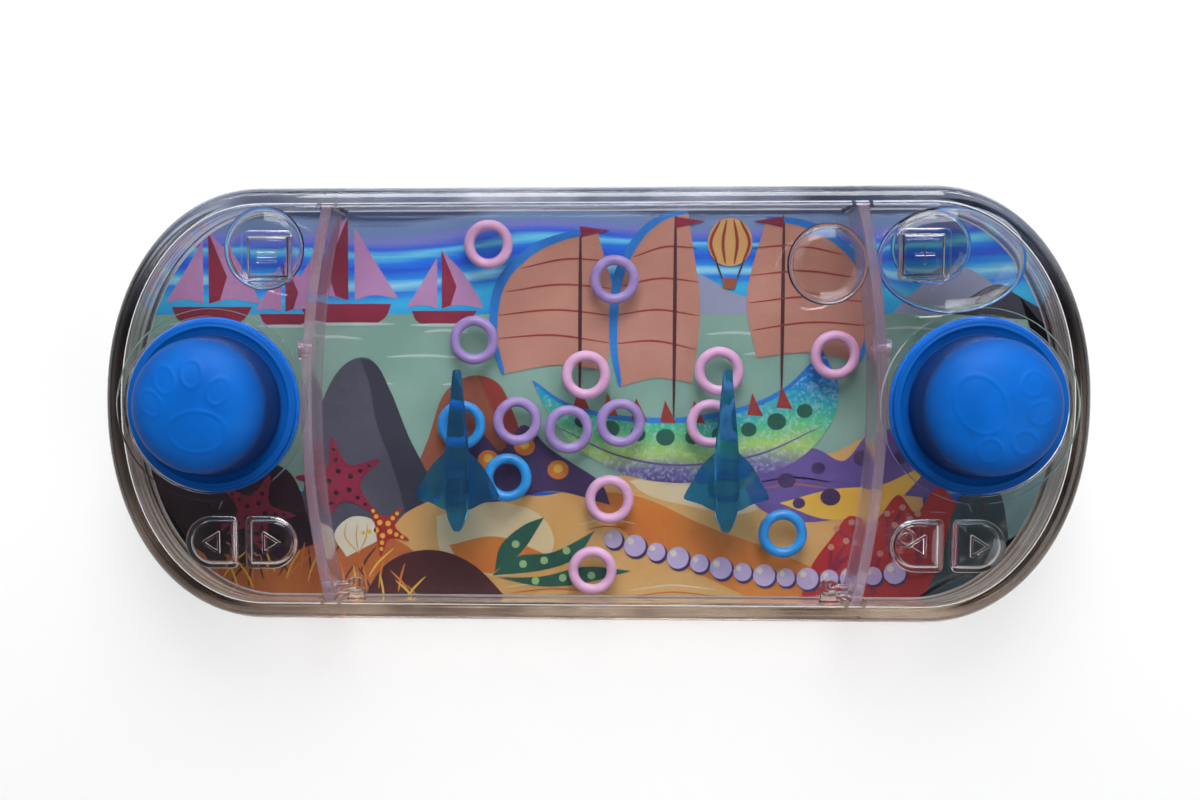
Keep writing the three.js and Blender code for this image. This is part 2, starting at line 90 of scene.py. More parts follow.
def deselect() -> None:
    """Leaves object mode ready for a new primitive, with nothing selected."""
    bpy.ops.object.select_all(action="DESELECT")


def pick(piece: Piece) -> None:
    """Selects one piece alone and makes it active.

    Args:
        piece: Piece to select.
    """
    deselect()
    piece.select_set(True)
    bpy.context.view_layer.objects.active = piece


def name_piece(name: str) -> Piece:
    """Names the active object and its mesh.

    Args:
        name: Name of the piece.

    Returns:
        The active object.
    """
    piece = bpy.context.object
    piece.name = name
    piece.data.name = name
    return piece


def settle(piece: Piece) -> Piece:
    """Puts the object's place, turn and size into its mesh.

    Args:
        piece: Object to settle.

    Returns:
        The same object, at the origin.
    """
    pick(piece)
    bpy.ops.object.transform_apply(location=True, rotation=True, scale=True)
    return piece


def place_key(place: Vector) -> tuple[int, int, int]:
    """Whole-number key of a place, a tenth of a micron fine."""
    return tuple(round(value * 1e7) for value in place)


def move_selected(piece: Piece, old: Loop, new: Loop) -> None:
    """Moves the selected points of a mesh in edit mode from one loop to another.

    Args:
        piece: Object in edit mode.
        old: Loop on which the points lie.
        new: Loop to which they go, in the same order.
    """
    mesh = bmesh.from_edit_mesh(piece.data)
    order = {place_key(place): index for index, place in enumerate(old)}
    for vertex in mesh.verts:
        if vertex.select:
            vertex.co = new[order[place_key(vertex.co)]]
    bmesh.update_edit_mesh(piece.data)


def loft(name: str, loops: list[Loop], ring: bool = False, pole: bool = False) -> Piece:
    """Extrudes a circle through loops of the same number of points and closes the skin.

    Args:
        name: Name of the piece.
        loops: Loops in metres, from one end of the skin to the other.
        ring: Joins the last loop to the first, for a shell or a ring.
        pole: Draws the last loop together in one point.

    Returns:
        The new piece, with its faces outwards.
    """
    deselect()
    bpy.ops.mesh.primitive_circle_add(vertices=len(loops[0]), radius=1)
    piece = name_piece(name)
    for vertex, place in zip(piece.data.vertices, loops[0]):
        vertex.co = place
    bpy.ops.object.mode_set(mode="EDIT")
    bpy.ops.mesh.select_mode(type="EDGE")
    bpy.ops.mesh.select_all(action="SELECT")
    path = loops[1:] + loops[:1] if ring else loops[1:]
    last = loops[0]
    for loop in path:
        bpy.ops.mesh.extrude_region_move()
        move_selected(piece, last, loop)
        last = loop
    if pole:
        bpy.ops.mesh.merge(type="CENTER")
    bpy.ops.mesh.select_all(action="SELECT")
    if ring:
        bpy.ops.mesh.remove_doubles(threshold=1e-7)
    else:
        bpy.ops.mesh.fill_holes(sides=0)
    bpy.ops.mesh.select_all(action="SELECT")
    bpy.ops.mesh.normals_make_consistent(inside=False)
    bpy.ops.object.mode_set(mode="OBJECT")
    return piece


def cut(piece: Piece, tool: Piece, operation: str = "DIFFERENCE") -> None:
    """Cuts a piece by a tool, or joins the tool to it, and removes the tool.

    Args:
        piece: Piece that is changed.
        tool: Closed mesh that is used up.
        operation: DIFFERENCE, UNION or INTERSECT.
    """
    pick(piece)
    boolean = piece.modifiers.new("cut", "BOOLEAN")
    boolean.operation = operation
    boolean.solver = "EXACT"
    boolean.object = tool
    bpy.ops.object.modifier_apply(modifier=boolean.name)
    bpy.data.objects.remove(tool)


def smooth(piece: Piece, degrees: float = 30) -> None:
    """Shades a piece smooth, but keeps the edges that are sharper than an angle.

    Args:
        piece: Piece to shade.
        degrees: Sharpest angle that is still shaded smooth.
    """
    pick(piece)
    bpy.ops.object.shade_smooth_by_angle(angle=math.radians(degrees))


class Axis(Enum):
    """Direction in which turned loops follow one another."""

    X = "x"
    Y = "y"
    Z = "z"


def circle_loop(radius: float, height: float, middle: Point, steps: int, axis: Axis = Axis.Z) -> Loop:
    """Circle across an axis.

    Args:
        radius: Radius in millimetres.
        height: Place along the axis in millimetres.
        middle: Centre in the two other directions, in millimetres.
        steps: Number of points.
        axis: Axis of the circle.

    Returns:
        The points in metres.
    """
    loop = []
    for index in range(steps):
        angle = 2 * math.pi * index / steps
        first = middle[0] + radius * math.cos(angle)
        second = middle[1] + radius * math.sin(angle)
        place = {
            Axis.X: (height, first, second),
            Axis.Y: (first, height, second),
            Axis.Z: (first, second, height),
        }[axis]
        loop.append(Vector(place) * MM)
    return loop


def turned_loops(profile: list[Point], middle: Point, steps: int, axis: Axis = Axis.Z) -> list[Loop]:
    """Circles through a profile of radius and height, for a turned piece.

    Args:
        profile: Radius and height of each circle in millimetres.
        middle: Place of the axis in millimetres.
        steps: Number of points in a circle.
        axis: Axis of the circles.

    Returns:
        The loops in metres.
    """
    return [circle_loop(radius, height, middle, steps, axis) for radius, height in profile]


def arc(centre: Point, radius: float, start: float, end: float, steps: int) -> list[Point]:
    """Points on an arc between two angles in degrees.

    Args:
        centre: Centre of the arc.
        radius: Its radius.
        start: First angle.
        end: Last angle.
        steps: Number of stretches.

    Returns:
        The points, both ends with them.
    """
    points = []
    for index in range(steps + 1):
        angle = math.radians(start + (end - start) * index / steps)
        points.append((centre[0] + radius * math.cos(angle), centre[1] + radius * math.sin(angle)))
    return points


def at_height(points: list[Point], z: float, middle: Point = (0, 0)) -> Loop:
    """Lifts flat points to a height, round a middle.

    Args:
        points: Points in millimetres.
        z: Height in millimetres.
        middle: Place of the outline's own origin in millimetres.

    Returns:
        The loop in metres.
    """
    return [Vector((x + middle[0], y + middle[1], z)) * MM for x, y in points]


def spread(knots: list[Knot], closed: bool = True, stretch: float = 0.8) -> list[Point]:
    """Draws a smooth line through knots. A knot with a third number is a corner.

    Args:
        knots: Knots in millimetres.
        closed: Joins the last knot to the first.
        stretch: Longest step between points in millimetres.

    Returns:
        The points of the line.
    """
    count = len(knots)
    corner = [len(knot) > 2 or (not closed and index in (0, count - 1)) for index, knot in enumerate(knots)]
    flat = [Vector(knot[:2]) for knot in knots]
    points = []
    for index in range(count if closed else count - 1):
        before, start, end, after = (flat[(index + shift) % count] for shift in (-1, 0, 1, 2))
        leave = end - start if corner[index] else (end - before) / 2
        arrive = end - start if corner[(index + 1) % count] else (after - start) / 2
        steps = max(3, math.ceil((end - start).length / stretch))
        for step in range(steps):
            t = step / steps
            place = (2 * t**3 - 3 * t**2 + 1) * start + (t**3 - 2 * t**2 + t) * leave
            place += (3 * t**2 - 2 * t**3) * end + (t**3 - t**2) * arrive
            points.append((place.x, place.y))
    if not closed:
        points.append(tuple(flat[-1]))
    return points


def ribbon(knots: list[Knot], width: float) -> list[Point]:
    """Outline of a drawn stroke that grows thin towards its ends.

    Args:
        knots: Knots of its middle line in millimetres.
        width: Width in its middle.

    Returns:
        The points of its outline.
    """
    line = [Vector(point) for point in spread(knots, closed=False)]
    left, right = [], []
    for index, place in enumerate(line):
        along = line[min(index + 1, len(line) - 1)] - line[max(index - 1, 0)]
        across = Vector((-along.y, along.x)).normalized()
        share = index / (len(line) - 1)
        half = width / 2 * (0.25 + 0.75 * math.sin(math.pi * share) ** 0.6)
        left.append(tuple(place + across * half))
        right.append(tuple(place - across * half))
    return left + right[::-1]


def join(pieces: list[Piece], name: str) -> Piece:
    """Joins pieces to one object.

    Args:
        pieces: Pieces to join.
        name: Name of the whole.

    Returns:
        The joined object.
    """
    deselect()
    for piece in pieces:
        piece.select_set(True)
    bpy.context.view_layer.objects.active = pieces[0]
    if len(pieces) > 1:
        bpy.ops.object.join()
    return name_piece(name)


def box_middle(node: str) -> Vector:
    """Middle of a CAD node's box in millimetres."""
    low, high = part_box(node)
    return (low + high) / 2 / MM


# Small tools for materials


def linear(code: str, alpha: float = 1.0) -> tuple[float, float, float, float]:
    """Turns an sRGB hex colour into the linear values that Blender takes.

    Args:
        code: Colour such as "#1468D0".
        alpha: Fourth value.

    Returns:
        Red, green, blue and alpha, linear.
    """
    parts = [int(code[i : i + 2], 16) / 255 for i in (1, 3, 5)]
    values = [p / 12.92 if p <= 0.04045 else ((p + 0.055) / 1.055) ** 2.4 for p in parts]
    return (*values, alpha)


def per_metre(size_mm: float) -> float:
    """Scale of a pattern on Object coordinates whose features are that size in millimetres."""
    return 1 / (size_mm * MM)


def add_node(
    tree: Tree,
    kind: str,
    inputs: dict | None = None,
    stops: list[tuple[float, str]] | None = None,
    **settings: object,
) -> Node:
    """Adds a shader node with its settings, its values and its links.

    Args:
        tree: Node tree of the material, world or lamp.
        kind: Node type, without the ShaderNode that all of them start with.
        inputs: Value, source socket or source node for each input, by name or number. A node gives its
            first output.
        stops: Places and hex colours of a colour ramp.
        settings: Properties of the node.

    Returns:
        The new node.
    """
    node = tree.nodes.new(f"ShaderNode{kind}")
    for name, value in settings.items():
        setattr(node, name, value)
    for name, value in (inputs or {}).items():
        if isinstance(value, Node):
            value = value.outputs[0]
        if isinstance(value, Socket):
            tree.links.new(value, node.inputs[name])
        else:
            node.inputs[name].default_value = value
    if stops:
        elements = node.color_ramp.elements
        while len(elements) < len(stops):
            elements.new(1)
        for element, (place, code) in zip(elements, stops):
            element.position = place
            element.color = linear(code)
    return node


def bare_material(name: str) -> Material:
    """New material with an empty node tree.

    Args:
        name: Name of the material.

    Returns:
        The material.
    """
    material = bpy.data.materials.new(name)
    material.use_nodes = True
    material.node_tree.nodes.clear()
    return material


def dress(piece: Piece, material: Material) -> None:
    """Gives a piece one material all over."""
    piece.data.materials.clear()
    piece.data.materials.append(material)


def let_lamps_by(tree: Tree, plastic: Node, tint: str, share: float = 1.0) -> Node:
    """Ends a clear material so that the lamps shine through it and it throws no solid shadow.

    Args:
        tree: Node tree of the material.
        plastic: Surface of the material.
        tint: Colour that the lamps' light takes on.
        share: Share of that light that is let by.

    Returns:
        The node of the mixed surface.
    """
    clear = add_node(tree, "BsdfTransparent", {"Color": linear(tint)})
    path = add_node(tree, "LightPath")
    let_by = add_node(tree, "Math", {0: path.outputs["Is Shadow Ray"], 1: share}, operation="MULTIPLY")
    return add_node(tree, "MixShader", {0: let_by, 1: plastic, 2: clear})


# Finishes


@dataclass(frozen=True)
class Finish:
    """A finish and its name. A class of its own draws each kind."""

    name: str

    def surface(self, tree: Tree, place: Socket) -> Node:
        """Draws the finish. Each kind has its own way."""
        raise NotImplementedError

    def material(self) -> Material:
        """Builds the material.

        Returns:
            The material.
        """
        material = bare_material(self.name)
        tree = material.node_tree
        place = add_node(tree, "TexCoord").outputs["Object"]
        add_node(tree, "OutputMaterial", {"Surface": self.surface(tree, place)})
        return material


@dataclass(frozen=True)
class ClearPolystyrene(Finish):
    """Clear injection-moulded polystyrene: hard gloss, faint ripples, fine scratches, slightly smoky."""

    roughness: float = 0.02
    ripple_mm: float = 9.0
    ripple: float = 0.04
    scratch_mm: float = 0.5
    ior: float = 1.5
    tint: str = "#EEEEF2"
    lamp_tint: str = "#F6F6F8"

    def surface(self, tree: Tree, place: Socket) -> Node:
        """Draws the finish.

        Args:
            tree: Node tree of the material.
            place: Object coordinates.

        Returns:
            The node of the surface.
        """
        ripples = add_node(
            tree, "TexNoise", {"Vector": place, "Scale": per_metre(self.ripple_mm), "Detail": 1.5}
        )
        stretch = add_node(
            tree, "Mapping", {"Vector": place, "Rotation": (0, 0, 0.5), "Scale": (0.08, 1, 1)}
        )
        scratches = add_node(
            tree, "TexNoise", {"Vector": stretch, "Scale": per_metre(self.scratch_mm), "Detail": 3.0}
        )
        haze = add_node(tree, "MapRange", {
            "Value": scratches, "From Min": 0.55, "From Max": 0.8, "To Min": self.roughness,
            "To Max": self.roughness + 0.08,
        })
        bump = add_node(tree, "Bump", {"Height": ripples, "Strength": self.ripple, "Distance": 0.5 * MM})
        plastic = add_node(tree, "BsdfPrincipled", {
            "Base Color": linear(self.tint), "Roughness": haze, "IOR": self.ior, "Transmission Weight": 1.0,
            "Normal": bump,
        })
        return let_lamps_by(tree, plastic, self.lamp_tint)


@dataclass(frozen=True)
class WallPaintedReflection(Finish):
    """The same polystyrene seen edge-on through its full depth, with a painted reflection of the room in it.

    Its fine dark and pale lines are painted reflection, smoke-brown at the foot of the case and blue-grey
    at its head; a painted shade makes it darkest at the ends, by the pumps.
    """

    painted_reflection_tones: tuple[str, ...]
    high_painted_reflection_tones: tuple[str, ...]
    end_painted_shade: str = "#6E6868"
    lamp_tint: str = "#E8E4DF"
    line_mm: float = 1.3
    roughness: float = 0.06
    ior: float = 1.35

    def surface(self, tree: Tree, place: Socket) -> Node:
        """Draws the finish. The lines of painted reflection run level round the case.

        Args:
            tree: Node tree of the material.
            place: Object coordinates.

        Returns:
            The node of the surface.
        """
        level = add_node(tree, "Mapping", {"Vector": place, "Scale": (0.05, 0.05, 1)})
        lines = add_node(
            tree, "TexNoise", {"Vector": level, "Scale": per_metre(self.line_mm), "Detail": 3.0}
        )
        # Painted reflection: brown lines at the foot of the case, blue-grey lines at its head, mixed by
        # height up the card.
        low, high = (
            add_node(tree, "ValToRGB", {
                "Fac": lines,
            }, stops=[(0.3 + 0.4 * index / (len(painted_reflection_tones) - 1), code) for index, code in enumerate(painted_reflection_tones)])
            for painted_reflection_tones in (self.painted_reflection_tones, self.high_painted_reflection_tones)
        )
        axes = add_node(tree, "SeparateXYZ", {0: place})
        up = add_node(tree, "MapRange", {"Value": axes.outputs["Y"], "From Min": 0.0, "From Max": 0.026})
        painted_reflection = add_node(tree, "Mix", {"Factor": up, "A": low, "B": high}, data_type="RGBA")
        # Painted shade: a multiply ramp darkens the wall at the ends of the case, by the pumps.
        across = add_node(
            tree, "MapRange", {"Value": axes.outputs["Y"], "From Min": -0.031, "From Max": 0.031}
        )
        end_painted_shade_ramp = add_node(tree, "ValToRGB", {
            "Fac": across,
        }, stops=[(0.06, "#FFFFFF"), (0.3, self.end_painted_shade), (0.7, self.end_painted_shade), (0.94, "#FFFFFF")])
        painted_wall_colour = add_node(tree, "Mix", {
            "Factor": 1.0, "A": painted_reflection.outputs["Result"], "B": end_painted_shade_ramp,
        }, data_type="RGBA", blend_type="MULTIPLY")
        plastic = add_node(tree, "BsdfPrincipled", {
            "Base Color": painted_wall_colour.outputs["Result"], "Roughness": self.roughness, "IOR": self.ior,
            "Transmission Weight": 0.85,
        })
        return let_lamps_by(tree, plastic, self.lamp_tint)


@dataclass(frozen=True)
class Silicone(Finish):
    """Soft moulded silicone rubber: even satin skin with a fine grain.

    The folding wall, the groove at its foot and the crown's shoulder get a painted shade: a dark navy mixed
    in by the mesh's body attribute.
    """

    colour: str
    deep: str
    painted_shade_colour: str
    roughness: float = 0.42
    grain_mm: float = 0.35
    cloud_mm: float = 7.0

    def surface(self, tree: Tree, place: Socket) -> Node:
        """Draws the finish.

        Args:
            tree: Node tree of the material.
            place: Object coordinates.

        Returns:
            The node of the surface.
        """
        clouds = add_node(
            tree, "TexNoise", {"Vector": place, "Scale": per_metre(self.cloud_mm), "Detail": 3.0}
        )
        colour = add_node(tree, "ValToRGB", {"Fac": clouds}, stops=[(0.3, self.deep), (0.7, self.colour)])
        # Painted shade: the body attribute mixes a dark navy into the folding wall, the groove and the
        # crown's shoulder.
        body = add_node(tree, "Attribute", attribute_name="body")
        skin = add_node(tree, "Mix", {
            "Factor": body.outputs["Fac"], "A": linear(self.painted_shade_colour), "B": colour,
        }, data_type="RGBA")
        grain = add_node(
            tree, "TexNoise", {"Vector": place, "Scale": per_metre(self.grain_mm), "Detail": 2.0}
        )
        shine = add_node(tree, "MapRange", {
            "Value": clouds, "To Min": self.roughness - 0.06, "To Max": self.roughness + 0.1,
        })
        bump = add_node(tree, "Bump", {"Height": grain, "Strength": 0.12, "Distance": 0.05 * MM})
        return add_node(tree, "BsdfPrincipled", {
            "Base Color": skin.outputs["Result"], "Roughness": shine, "IOR": 1.42,
            "Specular IOR Level": 0.1, "Normal": bump,
        })


@dataclass(frozen=True)
class TranslucentPlastic(Finish):
    """Translucent moulded plastic: light goes in, scatters and comes out tinted, with soft flow streaks."""

    colour: str
    streak: str
    see_through: float = 0.6
    roughness: float = 0.3
    streak_mm: float = 3.0
    stretch: Triple = (1.0, 0.15, 1.0)
    ior: float = 1.5

    def surface(self, tree: Tree, place: Socket) -> Node:
        """Draws the finish. Part of the lamps' light passes through it.

        Args:
            tree: Node tree of the material.
            place: Object coordinates.

        Returns:
            The node of the surface.
        """
        mapping = add_node(tree, "Mapping", {"Vector": place, "Scale": self.stretch})
        streaks = add_node(tree, "TexNoise", {
            "Vector": mapping, "Scale": per_metre(self.streak_mm), "Detail": 4.0, "Distortion": 0.6,
        })
        colour = add_node(
            tree, "ValToRGB", {"Fac": streaks}, stops=[(0.35, self.colour), (0.68, self.streak)]
        )
        bump = add_node(tree, "Bump", {"Height": streaks, "Strength": 0.15, "Distance": 0.15 * MM})
        plastic = add_node(tree, "BsdfPrincipled", {
            "Base Color": colour, "Roughness": self.roughness, "IOR": self.ior,
            "Transmission Weight": self.see_through, "Normal": bump,
        })
        return let_lamps_by(tree, plastic, self.streak, self.see_through)


@dataclass(frozen=True)
class SoftVinyl(Finish):
    """Soft PVC, moulded in one colour: a satin skin with faint clouds and small moulding dimples."""

    colour: str
    shade: str
    roughness: float = 0.38
    cloud_mm: float = 2.5
    dimple_mm: float = 0.6

    def surface(self, tree: Tree, place: Socket) -> Node:
        """Draws the finish.

        Args:
            tree: Node tree of the material.
            place: Object coordinates.

        Returns:
            The node of the surface.
        """
        clouds = add_node(
            tree, "TexNoise", {"Vector": place, "Scale": per_metre(self.cloud_mm), "Detail": 3.0}
        )
        colour = add_node(tree, "ValToRGB", {"Fac": clouds}, stops=[(0.3, self.shade), (0.65, self.colour)])
        dimples = add_node(tree, "TexNoise", {"Vector": place, "Scale": per_metre(self.dimple_mm)})
        bump = add_node(tree, "Bump", {"Height": dimples, "Strength": 0.15, "Distance": 0.06 * MM})
        return add_node(tree, "BsdfPrincipled", {
            "Base Color": colour, "Roughness": self.roughness, "IOR": 1.53, "Normal": bump,
        })


@dataclass(frozen=True)
class PrintedInk(Finish):
    """Offset ink on film: flat colour broken by a fine print screen and slight clouds of ink."""

    colour: str
    pale: str
    roughness: float = 0.45
    screen_mm: float = 0.5
    cloud_mm: float = 12.0

    def surface(self, tree: Tree, place: Socket) -> Node:
        """Draws the finish. The real screen is about 0.17 mm, drawn coarser so that it shows.

        Args:
            tree: Node tree of the material.
            place: Object coordinates.

        Returns:
            The node of the surface.
        """
        clouds = add_node(
            tree, "TexNoise", {"Vector": place, "Scale": per_metre(self.cloud_mm), "Detail": 2.0}
        )
        screen = add_node(tree, "TexNoise", {"Vector": place, "Scale": per_metre(self.screen_mm)})
        blend = add_node(tree, "Math", {0: screen, 1: 0.35, 2: clouds}, operation="MULTIPLY_ADD")
        colour = add_node(tree, "ValToRGB", {"Fac": blend}, stops=[(0.5, self.colour), (0.9, self.pale)])
        return add_node(
            tree, "BsdfPrincipled", {"Base Color": colour, "Roughness": self.roughness, "IOR": 1.5}
        )


@dataclass(frozen=True)
class RainbowFilm(Finish):
    """Aluminised rainbow film: a fine grating that breaks light into long blue, cyan and violet bands."""

    stops: tuple[tuple[float, str], ...]
    low_mm: float = 10.0
    high_mm: float = 31.0
    wander_mm: float = 40.0
    wander: float = 9.0
    streak_mm: float = 0.9
    streak: float = 1.6
    roughness: float = 0.3
    metallic: float = 0.2

    def surface(self, tree: Tree, place: Socket) -> Node:
        """Draws the finish. The film's rainbow colours are drawn as painted light: bands and bright streaks
        at fixed places where soft light makes them on the flat film.

        Args:
            tree: Node tree of the material.
            place: Object coordinates.

        Returns:
            The node of the surface.
        """
        axes = add_node(tree, "SeparateXYZ", {0: place})
        slow = add_node(
            tree, "TexNoise", {"Vector": place, "Scale": per_metre(self.wander_mm), "Detail": 0.0}
        )
        long_lines = add_node(tree, "Mapping", {"Vector": place, "Scale": (0.03, 1, 1)})
        fine = add_node(
            tree, "TexNoise", {"Vector": long_lines, "Scale": per_metre(self.streak_mm), "Detail": 2.0}
        )
        bent = add_node(
            tree, "Math", {0: slow, 1: self.wander * MM, 2: axes.outputs["Y"]}, operation="MULTIPLY_ADD"
        )
        drawn = add_node(tree, "Math", {0: fine, 1: self.streak * MM, 2: bent}, operation="MULTIPLY_ADD")
        middle = (self.wander + self.streak) / 2
        spread_out = add_node(tree, "MapRange", {
            "Value": drawn, "From Min": (self.low_mm + middle) * MM,
            "From Max": (self.high_mm + middle) * MM,
        })
        colour = add_node(tree, "ValToRGB", {"Fac": spread_out}, stops=list(self.stops))
        return add_node(tree, "BsdfPrincipled", {
            "Base Color": colour, "Roughness": self.roughness, "Metallic": self.metallic,
        })


@dataclass(frozen=True)
class GlitterInk(Finish):
    """Clear ink over broken rainbow film: a colour wash from top to bottom, with fine foil grains that take
    painted glints.
    """

    stops: tuple[tuple[float, str], ...]
    top_mm: float
    foot_mm: float
    wave_mm: float = 14.0
    wave: float = 8.0
    grain_mm: float = 0.45
    painted_glint: str = "#E8F6FF"

    def surface(self, tree: Tree, place: Socket) -> Node:
        """Draws the finish. The wash runs along Y between two heights on the card.

        Args:
            tree: Node tree of the material.
            place: Object coordinates.

        Returns:
            The node of the surface.
        """
        axes = add_node(tree, "SeparateXYZ", {0: place})
        waves = add_node(
            tree, "TexNoise", {"Vector": place, "Scale": per_metre(self.wave_mm), "Detail": 1.0}
        )
        shift = add_node(
            tree, "Math", {0: waves, 1: self.wave * MM, 2: axes.outputs["Y"]}, operation="MULTIPLY_ADD"
        )
        wash = add_node(tree, "MapRange", {
            "Value": shift, "From Min": (self.foot_mm + self.wave / 2) * MM,
            "From Max": (self.top_mm + self.wave / 2) * MM,
        })
        colour = add_node(tree, "ValToRGB", {"Fac": wash}, stops=list(self.stops))
        # Painted glints: random grains of the broken film are mixed towards a pale white-blue.
        grains = add_node(tree, "TexVoronoi", {"Vector": place, "Scale": per_metre(self.grain_mm)})
        glint_pick = add_node(tree, "SeparateColor", {0: grains.outputs["Color"]})
        share = add_node(tree, "MapRange", {"Value": glint_pick, "From Min": 0.5, "From Max": 1.0, "To Max": 0.32})
        painted_glint_colour = add_node(
            tree, "Mix", {"Factor": share, "A": colour, "B": linear(self.painted_glint)}, data_type="RGBA"
        )
        return add_node(tree, "BsdfPrincipled", {
            "Base Color": painted_glint_colour.outputs["Result"], "Roughness": 0.35, "Metallic": 0.2,
        })


class Workshop:
    """The materials, each built once."""

    def __init__(self) -> None:
        """Builds every material."""
        self.clear = ClearPolystyrene("clear_polystyrene").material()
        # The case wall seen edge-on: painted reflection of the room and painted shade at the ends.
        self.wall = WallPaintedReflection(
            "wall_painted_reflection",
            ("#44362F", "#84705F", "#BEA893", "#EAD6BC", "#947E70"),
            ("#262C3C", "#4E586E", "#7C869A", "#C8CEDA", "#424C60"),
        ).material()
        self.wet = ClearPolystyrene(
            "clear_soft_plastic", ior=1.22, tint="#FCFCFD", lamp_tint="#FDFDFD"
        ).material()
        self.milky = TranslucentPlastic(
            "milky_polystyrene", "#CFBAC6", "#E8D8E0", see_through=0.88, roughness=0.14
        ).material()
        # The third colour is a painted shade for the cap's wall, groove and crown shoulder.
        self.silicone = Silicone("blue_silicone", "#0963C0", "#0657AE", "#0E2C62").material()
        self.figure = TranslucentPlastic(
            "teal_styrene", "#2B7EBE", "#4BAAC6", see_through=0.92, roughness=0.1, streak_mm=6.0, ior=1.25
        ).material()
        self.bubble = ClearPolystyrene(
            "bubble_skin", roughness=0.0, ripple=0.0, ior=1.33, tint="#FFFFFF", lamp_tint="#FDFDFD"
        ).material()
        self.plug = SoftVinyl("white_soft_pvc", "#E4E4DE", "#D2D2CA", roughness=0.55).material()
        self.card = PrintedInk("grey_back_board", "#A79C8C", "#BDB3A4", roughness=0.8).material()
        self.vinyl = {
            "pink": SoftVinyl("pink_soft_pvc", "#CC9EBE", "#BC8CAC").material(),
            "lilac": SoftVinyl("lilac_soft_pvc", "#957FB2", "#846DA2").material(),
            "blue": SoftVinyl("blue_soft_pvc", "#1C88CC", "#1377B6").material(),
        }


# Case


@dataclass(frozen=True)
class Button:
    """One dummy button: its outline function, its middle, and a turn of -1 where it faces the other way."""

    name: str
    outline: Outline
    middle: Point
    turn: int = 1

    def loop(self, inset: float, z: float) -> Loop:
        """Its outline at a height, moved inwards."""
        points = [(self.turn * x, self.turn * y) for x, y in self.outline(inset)]
        return at_height(points, z, self.middle)


